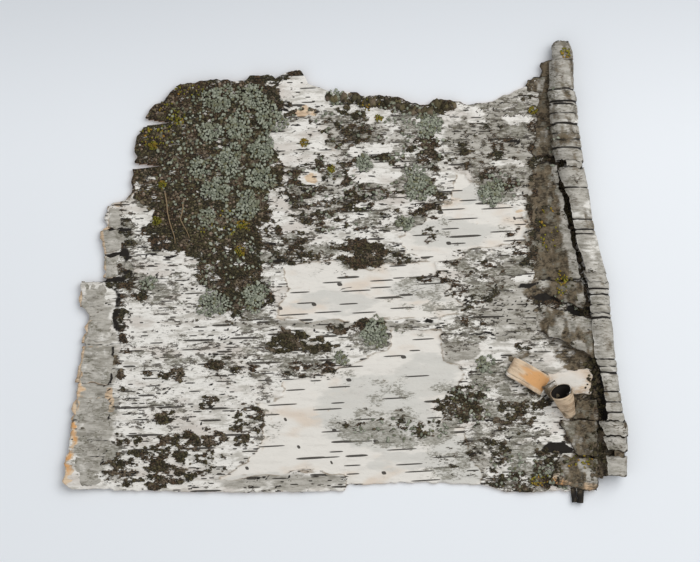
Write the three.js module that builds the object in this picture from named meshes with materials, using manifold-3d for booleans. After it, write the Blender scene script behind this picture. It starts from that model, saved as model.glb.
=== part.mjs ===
// A weathered sheet of birch bark lying with its white outer face up. Its right-hand margin has dried
// into a scroll that rolls up and over onto the sheet, a thin layer has peeled and curled beside it,
// and lichens, a brown crust and small moss cushions grow on its face.
// Millimetres. +X runs around the trunk (the way the lenticels lie), +Y up the trunk, +Z off the bark.
import * as THREE from "three";
import Module from "manifold-3d";
import { mergeVertices } from "three/addons/utils/BufferGeometryUtils.js";

const wasm = await Module();
wasm.setup();

// ---------------------------------------------------------------- driving dimensions
const SHEET_THICKNESS = 2.4;
const SCROLL_THICKNESS = 1.6;
const SCROLL_CLEARANCE = 0.9; // between the scroll's free edge and the sheet under it
const CURL_THICKNESS = 0.8; // a few paper layers of outer bark
const SEAT_GAP = 0.35; // left under whatever grows on the bark
const CRUST_HEIGHT = 1.5;
const ROSETTE_HEIGHT = 1.1;
const MOSS_HEIGHT = 1.4;
const STEM_RADIUS = 0.6;

// How finely the sheet and its scroll are divided.
const SHEET_COLUMNS = 34;
const SCROLL_COLUMNS = 11;
const ROWS = 30;

// The four edges of the sheet. Left and right give [y, x], bottom and top give [x, y].
const LEFT_EDGE = [
  [-117.5, -152], [-115, -154.5], [-100.5, -153], [-81, -149], [-62, -146.5], [-44.5, -142], [-35.5, -143.5],
  [-24, -141], [-19.5, -145], [-6, -145], [-4.5, -131.5], [8.5, -132.5], [21, -135], [25, -130.5],
  [35.5, -130.5], [39.5, -121], [57, -117], [74.5, -115], [85, -110.5], [92.5, -105], [99.5, -96.5], [103.5, -91],
];
const RIGHT_EDGE = [
  [-110.5, 154], [-84.5, 154], [-74.5, 152], [-53, 149], [-33, 146.5], [-6, 143.5], [8.5, 139.5], [23, 136],
  [41.5, 133], [55, 131], [79, 128.5], [94.5, 127.5], [116, 125], [126.5, 123],
];
const BOTTOM_EDGE = [
  [-152, -117.5], [-135, -118.5], [-90, -120], [-28, -120], [0, -119.5], [2, -116.5], [36, -115],
  [79, -117], [88, -120], [117, -119.5], [137, -119.5], [145, -112], [154, -110.5],
];
const TOP_EDGE = [
  [-91, 103.5], [-75, 106], [-56, 105.5], [-42, 108], [-32, 109.5], [-21, 103.5], [2, 99.5], [28, 96.5],
  [40, 92], [52, 95.5], [66, 92.5], [79, 94], [99, 102.5], [107, 109], [114, 119.5], [118, 126.5],
];
// Outer radius of the scroll along its length, as [y, radius].
const SCROLL_RADIUS = [
  [-110.5, 7.4], [-84, 7.2], [-29, 6.7], [9.5, 7], [55, 7.2], [63.5, 5.9], [101.5, 5.4], [116, 5], [126.5, 4.2],
];

// ---------------------------------------------------------------- small helpers
// Reads a list of [position, value] pairs with straight lines between them.
function follow(points, position) {
  const last = points.length - 1;
  if (position <= points[0][0]) return points[0][1];
  if (position >= points[last][0]) return points[last][1];
  const next = points.findIndex(([at]) => at > position);
  const [from, low] = points[next - 1];
  const [to, high] = points[next];
  return low + ((high - low) * (position - from)) / (to - from);
}

const mix = (a, b, t) => a + (b - a) * t;
const square = (a) => a * a;

// ---------------------------------------------------------------- the sheet's form
const Y_BOTTOM_LEFT = LEFT_EDGE[0][0];
const Y_TOP_LEFT = LEFT_EDGE.at(-1)[0];
const Y_BOTTOM_RIGHT = RIGHT_EDGE[0][0];
const Y_TOP_RIGHT = RIGHT_EDGE.at(-1)[0];
const X_BOTTOM_RIGHT = BOTTOM_EDGE.at(-1)[0] - SCROLL_RADIUS[0][1];
const X_TOP_RIGHT = TOP_EDGE.at(-1)[0];

// How far the underside stands off the ground: the left margin and the top left edge lift a little.
function lift(x, y) {
  const left = 0.0016 * square(Math.max(0, -104 - x));
  const top = 0.0028 * square(Math.max(0, y - 79)) * (1 - THREE.MathUtils.smoothstep(x, 40, 90));
  return left + top;
}

// The line on the ground where the sheet ends and the scroll begins to rise.
function scrollFoot(y) {
  return follow(RIGHT_EDGE, y) - follow(SCROLL_RADIUS, y);
}

// The point of the sheet at u from left to right and v from bottom to top.
function sheetPlan(u, v) {
  const left = follow(LEFT_EDGE, mix(Y_BOTTOM_LEFT, Y_TOP_LEFT, v));
  const right = scrollFoot(mix(Y_BOTTOM_RIGHT, Y_TOP_RIGHT, v));
  const bottom = follow(BOTTOM_EDGE, mix(BOTTOM_EDGE[0][0], X_BOTTOM_RIGHT, u));
  const top = follow(TOP_EDGE, mix(TOP_EDGE[0][0], X_TOP_RIGHT, u));
  return [mix(left, right, u), mix(bottom, top, v)];
}

// One point of the upper or lower skin of the sheet.
function sheetPoint(u, v, upper) {
  const [x, y] = sheetPlan(u, v);
  return new THREE.Vector3(x, y, lift(x, y) + (upper ? SHEET_THICKNESS : 0));
}

// One point of the scroll's skins. The underside of the sheet is the outside of the scroll.
function scrollPoint(turn, v, inner) {
  const [footX, footY] = sheetPlan(1, v);
  const radius = follow(SCROLL_RADIUS, footY);
  const dip = (radius - SHEET_THICKNESS - SCROLL_CLEARANCE) / radius;
  const angle = -Math.PI / 2 + turn * (1.5 * Math.PI + Math.asin(dip));
  const wall = mix(SHEET_THICKNESS, SCROLL_THICKNESS, Math.min(1, turn * 3));
  const reach = inner ? radius - wall : radius;
  return new THREE.Vector3(footX + reach * Math.cos(angle), footY, radius + reach * Math.sin(angle));
}

// A closed shell between two skins that share one grid of columns and rows.
function shell(columns, rows, pointAt) {
  const positions = [];
  const index = [];
  const size = (columns + 1) * (rows + 1);
  const at = (i, j, skin) => skin * size + j * (columns + 1) + i;
  const quad = (a, b, c, d) => index.push(a, b, c, a, c, d);
  for (const skin of [0, 1]) {
    for (let j = 0; j <= rows; j++) {
      for (let i = 0; i <= columns; i++) positions.push(...pointAt(i, j, skin === 1).toArray());
    }
  }
  for (let j = 0; j < rows; j++) {
    for (let i = 0; i < columns; i++) {
      quad(at(i, j, 1), at(i + 1, j, 1), at(i + 1, j + 1, 1), at(i, j + 1, 1));
      quad(at(i, j, 0), at(i, j + 1, 0), at(i + 1, j + 1, 0), at(i + 1, j, 0));
    }
    quad(at(0, j, 0), at(0, j, 1), at(0, j + 1, 1), at(0, j + 1, 0));
    quad(at(columns, j, 0), at(columns, j + 1, 0), at(columns, j + 1, 1), at(columns, j, 1));
  }
  for (let i = 0; i < columns; i++) {
    quad(at(i, 0, 0), at(i + 1, 0, 0), at(i + 1, 0, 1), at(i, 0, 1));
    quad(at(i, rows, 0), at(i, rows, 1), at(i + 1, rows, 1), at(i + 1, rows, 0));
  }
  const geometry = new THREE.BufferGeometry();
  geometry.setAttribute("position", new THREE.Float32BufferAttribute(positions, 3));
  geometry.setIndex(index);
  return geometry;
}

function sheetAndScroll() {
  return shell(SHEET_COLUMNS + SCROLL_COLUMNS, ROWS, (i, j, upper) => {
    const v = j / ROWS;
    if (i <= SHEET_COLUMNS) return sheetPoint(i / SHEET_COLUMNS, v, upper);
    return scrollPoint((i - SHEET_COLUMNS) / SCROLL_COLUMNS, v, upper);
  });
}

// ---------------------------------------------------------------- joining with manifold-3d
function toSolid(geometry) {
  const bare = geometry.clone();
  bare.deleteAttribute("normal");
  bare.deleteAttribute("uv");
  const merged = mergeVertices(bare, 1e-4);
  const vertProperties = new Float32Array(merged.attributes.position.array);
  const triVerts = new Uint32Array(merged.index.array);
  return new wasm.Manifold(new wasm.Mesh({ numProp: 3, vertProperties, triVerts }));
}

function toGeometry(solid) {
  const mesh = solid.getMesh();
  const geometry = new THREE.BufferGeometry();
  geometry.setAttribute("position", new THREE.Float32BufferAttribute(mesh.vertProperties, 3));
  geometry.setIndex(new THREE.Uint32BufferAttribute(mesh.triVerts, 1));
  return geometry;
}

// ---------------------------------------------------------------- peeled curls and plates
// A bent strip: an arc of a ring, extruded across its width and laid so that it springs from a root.
function bentStrip({ x, y, z, heading, radius, sweep, start, width }) {
  const arc = new THREE.Shape();
  const from = THREE.MathUtils.degToRad(start);
  const to = THREE.MathUtils.degToRad(start + sweep);
  arc.absarc(0, 0, radius, from, to, false);
  arc.absarc(0, 0, radius - CURL_THICKNESS, to, from, true);
  arc.closePath();
  const strip = new THREE.ExtrudeGeometry(arc, { depth: width, bevelEnabled: false, curveSegments: 8 });
  strip.translate(0, 0, -width / 2);
  strip.rotateX(Math.PI / 2);
  strip.rotateZ(THREE.MathUtils.degToRad(heading));
  strip.translate(x, y, z);
  return strip;
}

// The curl that has peeled off the sheet, the small cone beside it, and the two rolls at the foot.
const CURLS = [
  { x: 99, y: -56, z: -6.5, heading: -32, radius: 14, sweep: 84, start: 36, width: 12 },
  { x: 121, y: -69.5, z: 5.8, heading: 12, radius: 5, sweep: 215, start: -35, width: 15 },
  { x: 125, y: -121.5, z: 3.4, heading: 4, radius: 3.4, sweep: 290, start: -100, width: 11 },
  { x: 131, y: -119.5, z: 3, heading: -3, radius: 3, sweep: 290, start: -100, width: 12 },
];

// Loose plates of weathered bark beside the scroll, sunk into the sheet and tilted a few degrees.
const PLATES = [
  { x: 126, y: -81, length: 20, width: 13, tilt: 5, turn: 4 },
  { x: 126, y: -97.5, length: 21, width: 12, tilt: -6, turn: -3 },
  { x: 124, y: -112, length: 22, width: 13, tilt: 4, turn: 2 },
  { x: 111, y: -36.5, length: 17, width: 15, tilt: 6, turn: -12 },
  { x: 108, y: 108, length: 7, width: 12, tilt: 8, turn: 10 },
];
const PLATE_THICKNESS = 2;

function plate({ x, y, length, width, tilt, turn }) {
  const slab = new THREE.BoxGeometry(length, width, PLATE_THICKNESS);
  slab.rotateX(THREE.MathUtils.degToRad(tilt));
  slab.rotateZ(THREE.MathUtils.degToRad(turn));
  slab.translate(x, y, SHEET_THICKNESS + PLATE_THICKNESS / 4);
  return slab;
}

function barkBody() {
  const pieces = [...CURLS.map(bentStrip), ...PLATES.map(plate)];
  return toGeometry(pieces.reduce((solid, piece) => solid.add(toSolid(piece)), toSolid(sheetAndScroll())));
}

// ---------------------------------------------------------------- what grows on the bark
const SIDES = 12;

// A low cushion whose underside follows the bark. Its outline is given as a radius for each bearing.
function cushion({ x, y, reach, height, base }) {
  const positions = [];
  const index = [];
  const add = (scale, side, rise) => {
    const bearing = (side / SIDES) * 2 * Math.PI;
    const px = x + scale * reach(bearing) * Math.cos(bearing);
    const py = y + scale * reach(bearing) * Math.sin(bearing);
    positions.push(px, py, lift(px, py) + SHEET_THICKNESS + base + rise);
    return positions.length / 3 - 1;
  };
  const ring = (scale, rise) => Array.from({ length: SIDES }, (_, side) => add(scale, side, rise));
  const rim = ring(1, 0.3 * height);
  const faces = [
    { middle: add(0, 0, 0), inner: ring(0.85, 0), up: false },
    { middle: add(0, 0, height), inner: ring(0.7, 0.9 * height), up: true },
  ];
  for (const { middle, inner, up } of faces) {
    for (let side = 0; side < SIDES; side++) {
      const next = (side + 1) % SIDES;
      const turned = (a, b, c) => (up ? index.push(a, b, c) : index.push(a, c, b));
      turned(middle, inner[side], inner[next]);
      turned(inner[side], rim[side], rim[next]);
      turned(inner[side], rim[next], inner[next]);
    }
  }
  const geometry = new THREE.BufferGeometry();
  geometry.setAttribute("position", new THREE.Float32BufferAttribute(positions, 3));
  geometry.setIndex(index);
  return geometry;
}

// An outline that wanders round an ellipse.
function wandering(radiusX, radiusY, seed) {
  return (bearing) => {
    const round = 1 / Math.hypot(Math.cos(bearing) / radiusX, Math.sin(bearing) / radiusY);
    return round * (1 + 0.1 * Math.sin(3 * bearing + seed) + 0.06 * Math.sin(5 * bearing + 2 * seed));
  };
}

// Brown crust patches: centre, half sizes.
const CRUSTS = [
  ["crust_top_left", -79, 63.5, 30, 36.5],
  ["crust_left", -70, 2, 12, 21],
  ["crust_top_edge", 19, 89, 16, 5],
  ["crust_middle", -22, -38.5, 16, 7.5],
  ["crust_upper_middle", 9, 7, 12, 7.5],
  ["crust_right", 68, -72.5, 11, 12.5],
  ["crust_lower_right", 93, -81, 12, 8.5],
  ["crust_lower_middle", 22, -83, 26, 8.5],
  ["crust_lower_left", -92, -89, 22, 19.5],
];

// Grey-green lichen rosettes: centre, radius. Those over the big crust sit on top of it.
const ROSETTES = [
  [-70, 95.5, 8], [-52, 96.5, 8], [-59, 80, 8], [-41, 85, 8], [-75, 77, 6.5], [-46, 68.5, 7.5], [-64, 62, 8],
  [-47, 52, 7.5], [-80, 58, 6], [-71, 45.5, 7.5], [-54, 36.5, 7.5], [-76, 30, 5.5], [-73, -17.5, 8],
  [-50, -13.5, 7.5], [-108, -6, 4.5], [16, -33, 8], [-3, -47.5, 4], [46, 81, 7], [40, 48, 9], [80, 43.5, 7],
  [-5, 96.5, 5], [10, 60, 5], [76, -50, 5], [32, 27, 5],
];
const OVER_CRUST = 13; // the first rosettes of the list are on the crust

// Small olive-yellow moss cushions: centre, radius.
const MOSSES = [
  [-106, 69.5, 2.6], [-92, 83, 2.6], [-101, 48, 2.2], [-104, 28, 2.6], [-57, 26, 3], [-58, 11.5, 3],
  [-23, 71.5, 2.4], [-8, 57, 2.2], [18, 85, 2.2], [103, 89.5, 2.4],
];

// Thin dead stems lying over the crust, from end to end.
const STEMS = [
  [[-99.5, 43.5, 0], [-98, 33, 1], [-94.5, 21, 0.4], [-94, 15.5, 0]],
  [[-89.5, 37.5, 0.2], [-90.5, 29, 1.2], [-86, 18.5, 0]],
];
const STEM_BASE = 2 * SEAT_GAP + CRUST_HEIGHT + STEM_RADIUS;

function stem(points) {
  const route = points.map(([x, y, rise]) => {
    return new THREE.Vector3(x, y, lift(x, y) + SHEET_THICKNESS + STEM_BASE + rise);
  });
  const section = new THREE.Shape();
  section.absarc(0, 0, STEM_RADIUS, 0, 2 * Math.PI, false);
  const extrudePath = new THREE.CatmullRomCurve3(route);
  return new THREE.ExtrudeGeometry(section, { steps: 10, curveSegments: 3, extrudePath });
}

// ---------------------------------------------------------------- assembly
const MATERIALS = {
  bark: new THREE.MeshStandardMaterial({ color: "#c9c5bb", roughness: 0.85, metalness: 0 }),
  crust: new THREE.MeshStandardMaterial({ color: "#4f4636", roughness: 1, metalness: 0 }),
  lichen: new THREE.MeshStandardMaterial({ color: "#87908a", roughness: 0.95, metalness: 0 }),
  moss: new THREE.MeshStandardMaterial({ color: "#6f6a1e", roughness: 1, metalness: 0 }),
  stem: new THREE.MeshStandardMaterial({ color: "#b3a58a", roughness: 0.9, metalness: 0 }),
};

const piece = new THREE.Group();

function place(name, geometry, material) {
  const mesh = new THREE.Mesh(geometry, material);
  mesh.name = name;
  piece.add(mesh);
}

const numbered = (word, i) => `${word}_${String(i + 1).padStart(2, "0")}`;

place("bark", barkBody(), MATERIALS.bark);
CRUSTS.forEach(([name, x, y, halfX, halfY], i) => {
  const reach = wandering(halfX, halfY, i);
  place(name, cushion({ x, y, reach, height: CRUST_HEIGHT, base: SEAT_GAP }), MATERIALS.crust);
});
ROSETTES.forEach(([x, y, radius], i) => {
  const base = i < OVER_CRUST ? 2 * SEAT_GAP + CRUST_HEIGHT : SEAT_GAP;
  const reach = wandering(radius, radius, 2 * i);
  const geometry = cushion({ x, y, reach, height: ROSETTE_HEIGHT, base });
  place(numbered("lichen", i), geometry, MATERIALS.lichen);
});
MOSSES.forEach(([x, y, radius], i) => {
  const base = 2 * SEAT_GAP + CRUST_HEIGHT;
  const reach = wandering(radius, radius, i);
  place(numbered("moss", i), cushion({ x, y, reach, height: MOSS_HEIGHT, base }), MATERIALS.moss);
});
STEMS.forEach((points, i) => place(numbered("dead_stem", i), stem(points), MATERIALS.stem));

// The origin is under the middle of the whole piece, on the ground.
const box = new THREE.Box3().setFromObject(piece);
piece.position.set(-(box.min.x + box.max.x) / 2, -(box.min.y + box.max.y) / 2, -box.min.z);

const assembly = new THREE.Group();
assembly.add(piece);
assembly.updateMatrixWorld(true);
export default assembly;
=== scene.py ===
# %% [markdown]
# # A sheet of birch bark
# Birch bark is a stack of paper-thin layers. The tree sheds the oldest of them, so one sheet shows
# chalk-white paper, cream paper just uncovered, and grey paper that has weathered for years. Dark
# dashes cross all of it: they are lenticels, the pores that the trunk breathes through. A dried sheet
# rolls up at a margin, and lichens, crust and moss that grew on the tree stay on its face.
# %% Start from the packed model
import math

import bmesh
import bpy
import numpy as np
from mathutils import Matrix, Vector
from mathutils.bvhtree import BVHTree


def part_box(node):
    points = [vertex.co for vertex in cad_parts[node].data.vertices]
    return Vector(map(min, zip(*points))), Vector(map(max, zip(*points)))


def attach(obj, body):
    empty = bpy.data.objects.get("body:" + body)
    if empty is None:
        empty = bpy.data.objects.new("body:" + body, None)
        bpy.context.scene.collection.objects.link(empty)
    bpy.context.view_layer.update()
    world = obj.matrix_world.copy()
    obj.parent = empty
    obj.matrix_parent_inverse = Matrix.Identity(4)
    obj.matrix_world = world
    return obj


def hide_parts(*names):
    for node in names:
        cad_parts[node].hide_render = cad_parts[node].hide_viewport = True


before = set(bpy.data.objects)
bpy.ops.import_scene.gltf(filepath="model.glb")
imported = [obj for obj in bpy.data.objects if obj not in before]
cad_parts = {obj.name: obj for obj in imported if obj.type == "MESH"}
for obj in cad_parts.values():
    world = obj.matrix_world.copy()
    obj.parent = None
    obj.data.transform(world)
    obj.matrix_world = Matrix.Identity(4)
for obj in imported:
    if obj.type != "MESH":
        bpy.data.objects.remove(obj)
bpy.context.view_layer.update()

MM = 0.001
BARK_LOW, BARK_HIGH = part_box("bark")
print("bark box in mm", [round(a / MM, 1) for a in (*BARK_LOW, *BARK_HIGH)])

# %% [markdown]
# ## The outline
# The four edges are short lists of turning points in millimetres. Left and right say where x is for
# each y, bottom and top say where y is for each x. A grid whose four sides follow these lists covers
# the sheet without any hole, and each of its points has an address: u from left to right, v from
# bottom to top. +X runs around the trunk, which is the way that the lenticels lie.
# %% Edges of the sheet
LEFT_EDGE = [
    (-117.5, -152), (-115, -154.5), (-110, -153.2), (-100.5, -153), (-98, -151), (-81, -149), (-75, -147),
    (-62, -146.5), (-49, -144), (-44.5, -142), (-38, -142.6), (-35.5, -143.5), (-34, -140.5), (-24, -141),
    (-20.5, -142), (-19.5, -145), (-6, -145), (-5.6, -134), (-4.5, -131.5), (8.5, -132.5), (13, -132.8),
    (21, -135), (24, -133), (25, -130.5), (29, -132.5), (35.5, -130.5), (38, -128), (39.5, -121),
    (45, -117.4), (51, -118), (57, -117), (64, -115), (68, -116.2), (74.5, -115), (79, -111.7),
    (85, -110.5), (89, -108.5), (92.5, -105), (94.5, -99.7), (99, -96.5), (103.5, -91),
]
RIGHT_EDGE = [
    (-110.5, 153), (-84.5, 153), (-81.8, 152), (-74.5, 150.6), (-53, 147.8), (-33, 145.8), (-6, 143.2),
    (8.5, 139.5), (23, 136.2), (41.5, 133.2), (55, 130.6), (68, 128.8), (79, 127.6), (95.5, 126.3),
    (100, 125), (116.5, 124.6), (121, 124.4), (126.5, 122.6),
]
BOTTOM_EDGE = [
    (-152, -117.5), (-149, -118.6), (-135, -118.5), (-118, -119.4), (-90, -120), (-58, -120.5),
    (-28, -120), (0, -119.5), (1.5, -116.3), (29, -115.3), (36, -114.8), (60, -115.6), (79, -117),
    (88, -120), (97, -120.7), (117, -119.5), (136.5, -119.5), (138, -111.6), (154, -110.5),
]
TOP_EDGE = [
    (-91, 103.5), (-84, 104.5), (-75, 106), (-56, 105.5), (-53, 107.6), (-42, 108), (-38.5, 106.6),
    (-33.5, 109.2), (-30, 111), (-25, 111), (-23, 107), (-21, 103.5), (-14.8, 102.4), (-8.8, 99.5),
    (2, 99.5), (10.5, 96.7), (21.5, 97.4), (28, 96.5), (33, 94), (40, 92), (45, 92.2), (48, 95),
    (52, 95.7), (56, 95), (66, 92.5), (79, 94), (85, 97), (99, 102.5), (99.6, 104), (106, 107.3),
    (108.4, 114.5), (113.5, 117), (114.2, 123), (118, 126.5),
]
SCROLL_RADIUS = [
    (-110.5, 7.4), (-83, 7.4), (-80, 6.4), (-29, 6.2), (9.5, 6.8), (55, 7.2), (61, 7.4), (66, 8.0),
    (99, 7.5), (101.5, 6.7), (115.5, 6.4), (117.3, 5.3), (119, 5.6), (123.5, 5.3), (125.4, 4.7),
    (126.5, 3.7),
]
SHEET_THICKNESS = 2.4
SHIFT_Y = BARK_HIGH.y / MM - TOP_EDGE[-1][1]  # the packed model is centred on its own box


def follow(points, at):
    """Reads a list of turning points with straight lines between them."""
    where, value = zip(*points)
    return np.interp(at, where, value)


def mix(a, b, t):
    return a + (b - a) * t


def smooth(value, low, high):
    """0 below low, 1 above high, with a soft step between."""
    t = np.clip((value - low) / (high - low), 0, 1)
    return t * t * (3 - 2 * t)


EDGES = [LEFT_EDGE, RIGHT_EDGE, BOTTOM_EDGE, TOP_EDGE]
print("turning points on the four edges", [len(edge) for edge in EDGES])

# %% [markdown]
# ## Repeatable roughness
# Nothing on bark is smooth, and nearly everything is longer across the trunk than up it. This noise
# is worked out from the place alone, so it is the same on every run, and its lumps can be given one
# length along the lenticels and another across them.
# %% Noise
def lattice(i, j, seed):
    """A number from 0 to 1 for each corner of a lattice."""
    return np.abs(np.sin(i * 127.1 + j * 311.7 + seed * 74.7) * 43758.5453) % 1.0


def lumps(x, y, long, tall, seed):
    """Soft noise from -1 to 1 with lumps `long` by `tall` mm."""
    i, j = np.floor(x / long), np.floor(y / tall)
    a, b = x / long - i, y / tall - j
    a, b = a * a * (3 - 2 * a), b * b * (3 - 2 * b)
    low = mix(lattice(i, j, seed), lattice(i + 1, j, seed), a)
    high = mix(lattice(i, j + 1, seed), lattice(i + 1, j + 1, seed), a)
    return 2 * mix(low, high, b) - 1


def rough(x, y, long, tall, seed, octaves=3):
    """Lumps with smaller lumps on them."""
    return sum(lumps(x, y, long / 2**k, tall / 2**k, seed + k) / 2**k for k in range(octaves))


MIDDLE = np.zeros(1)
print("noise at the middle", rough(MIDDLE, MIDDLE, 5, 5, 1).round(3))

# %% [markdown]
# ## A map of the face
# What shows at each place is written down as regions. An outline is where outer paper has peeled
# away, and a patch is an oval with a strength, for something that is thicker here than there. Each
# region becomes a number stored on every point of the mesh, and both the relief and the colours read
# it, so a step in the paper and the change of its colour fall on the same line.
# %% Where paper has peeled away
PEELED = [
    [(-35, 3), (-20, 5.5), (-3, 6), (2, 1.6), (14, 0.6), (19, 4.4), (48, 6), (49.5, -1), (57, -6.6),
     (60, -15), (65.5, -21.5), (52, -25), (30, -25.5), (2, -26), (-14, -27), (-39, -26), (-35, -16.6),
     (-32, -9.4)],
    [(25.3, -32), (51.7, -32), (53.4, -49), (61.6, -51.3), (64.4, -58), (58.3, -64.6), (54, -70),
     (53.4, -83.4), (64.4, -85.6), (66, -100.5), (73.7, -108.8), (72.6, -118), (29.7, -118),
     (-0.5, -121), (-0.5, -109.8), (-25, -109.3), (-68, -113.2), (-55, -104.3), (-46, -94.4),
     (-45, -77.3), (-50, -71.2), (-34, -69), (-34, -60.2), (-9.4, -55.2), (5.5, -49), (23, -43.6)],
    [(49, 37.5), (74.3, 39), (90, 36), (97, 32), (100, 24.8), (98, 18.2), (84.7, 15), (68, 12.7),
     (60, 6), (46, 6), (32.5, 11.6), (29.7, 18.2), (40.7, 26.5)],
    [(59, 49.1), (73.7, 49.1), (74.3, 37), (58.3, 37)],
    [(60.5, 54.6), (66, 54.6), (66.6, 48), (61, 48)],
]


def inside(outline, x, y):
    """How far inside a closed outline each place is, in mm, and negative outside it."""
    nearest, within = np.full_like(x, 1e9), np.zeros(x.shape, bool)
    for (ax, ay), (bx, by) in zip(outline, outline[1:] + outline[:1]):
        ex, ey = bx - ax, by - ay
        t = np.clip(((x - ax) * ex + (y - ay) * ey) / (ex * ex + ey * ey), 0, 1)
        nearest = np.minimum(nearest, np.hypot(x - ax - t * ex, y - ay - t * ey))
        crosses = (ay > y) != (by > y)
        within ^= crosses & (x < ax + ex * (y - ay) / (ey if ey else 1e-9))
    return np.where(within, nearest, -nearest)


def patches(ovals, x, y):
    """The strongest of several ragged ovals, each (x, y, half length, half height, strength)."""
    found = np.zeros_like(x)
    x, y = x + 2.4 * rough(x, y, 7, 4, 201), y + 1.5 * rough(x, y, 7, 4, 205)
    for cx, cy, half_x, half_y, strength in ovals:
        away = np.hypot((x - cx) / half_x, (y - cy) / half_y)
        found = np.maximum(found, strength * smooth(-away, -1.35, -0.65))
    return found


print("peeled places", len(PEELED))

# %% Where things grow, and where paper has weathered
CRUST_FIELD = [
    (-123, 79), (-116, 92), (-106, 101), (-92, 112), (-64, 115), (-37, 114), (-33.6, 95.5), (-38.7, 81.7),
    (-44, 73.4), (-33.6, 59.6), (-34.7, 34.8), (-46, 26.5), (-46, -9.4), (-58, -23), (-66.6, -15),
    (-72, 1.6), (-88.6, 10), (-108, 11.6), (-109, 19.3), (-108, 32), (-116, 40.3), (-126, 56.8),
]
CRUST_PATCHES = [
    (-62, -7, 22, 20, 0.76), (-33, -38, 12, 7, 0.95), (-16, -40.5, 10, 4.2, 0.88), (-4, -31, 6, 3, 0.85),
    (10, -31, 8, 5, 0.85), (-33, 98, 5, 9, 0.85), (69, -13, 9, 8, 0.68), (90, 22, 6, 4, 0.85),
    (-106, 24, 6, 7, 0.84), (-114, -9, 8, 7, 0.86), (-48, -13, 9, 9, 0.95), (-123, 20, 4, 16, 0.8),
    (-122, -5, 6, 8, 0.85), (50, 64, 8, 12, 0.82), (49, 46, 7, 9, 0.8), (47, 22, 6, 8, 0.75),
    (-18, -54, 18, 6, 0.7), (58, -72, 10, 9, 0.8), (62, -104, 12, 12, 0.68), (70, -30, 12, 8, 0.62),
    (-95, -56, 7, 5, 0.9), (-110, -56, 4, 3, 0.8), (-63, -51, 15, 6, 0.72), (-76, -72, 6, 4, 0.95),
    (-99.5, -78.5, 8, 5, 0.85), (-72.5, -91, 9, 5, 0.95), (-90, -94.5, 14, 9, 0.95),
    (-99, -111, 14, 8, 0.86), (-117, -94, 11, 7, 0.72), (-125, -109, 12, 8, 0.75),
    (-52, -82, 11, 10, 0.64), (-56, -93, 5, 4, 0.7), (-86, -103, 22, 10, 0.57),
    (-123, -25, 3.4, 18, 0.92), (-123, -58, 3.6, 9, 0.76), (-119, 18, 4, 18, 0.72),
    (-128, -6, 4, 4, 0.95), (9.5, 10, 13, 8.5, 1.3), (31, 9.4, 6, 5, 0.95), (46, 33.4, 8, 4, 0.98),
    (7.7, 37.5, 8, 4, 0.95), (-1.8, -0.5, 6, 2, 0.8), (-25, 87.8, 12, 3.5, 0.85), (0, 78, 22, 6, 0.72),
    (28, 58, 4, 8, 0.85), (42, 68.6, 15, 10, 0.75), (-25, 12, 26, 12, 0.66), (-40, 30, 8, 14, 0.8),
    (-6, 55, 46, 36, 0.67), (40, 90, 18, 5, 0.8), (74, 65, 24, 18, 0.6), (75, -4, 14, 12, 0.58),
    (97, 12, 9, 8, 0.66), (27, 95, 38, 5.5, 1.0), (-27, 109.5, 6, 3, 1.0), (52, 93, 8, 4, 1.0),
    (68.2, -71.8, 10, 11, 1.02), (91.3, -78, 13, 9, 0.66), (60, -2, 10, 16, 0.6), (20, -83, 26, 6, 0.72),
    (46, -87, 13, 6, 0.85), (76, -100, 14, 10, 0.62), (95.7, -115, 20, 6, 0.9), (110, -108, 9, 12, 0.8),
    (106, 86, 9, 26, 0.68), (107, 62, 8, 10, 0.9), (103, 30, 5, 30, 0.8), (112, -18, 14, 8, 0.85),
    (96, -42, 5, 4, 0.8), (104, -70, 10, 5, 0.7), (60, 16, 26, 3, 0.55), (48, -4, 12, 4, 0.75),
    (30, -32, 5, 1.8, 0.9), (62, -20, 9, 1.6, 0.85), (20, -75, 14, 1.5, 0.85), (13, -27, 7, 3, 0.9),
    (-108, -100, 10, 6, 0.85), (82, 50, 14, 6, 0.72),
]
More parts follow.
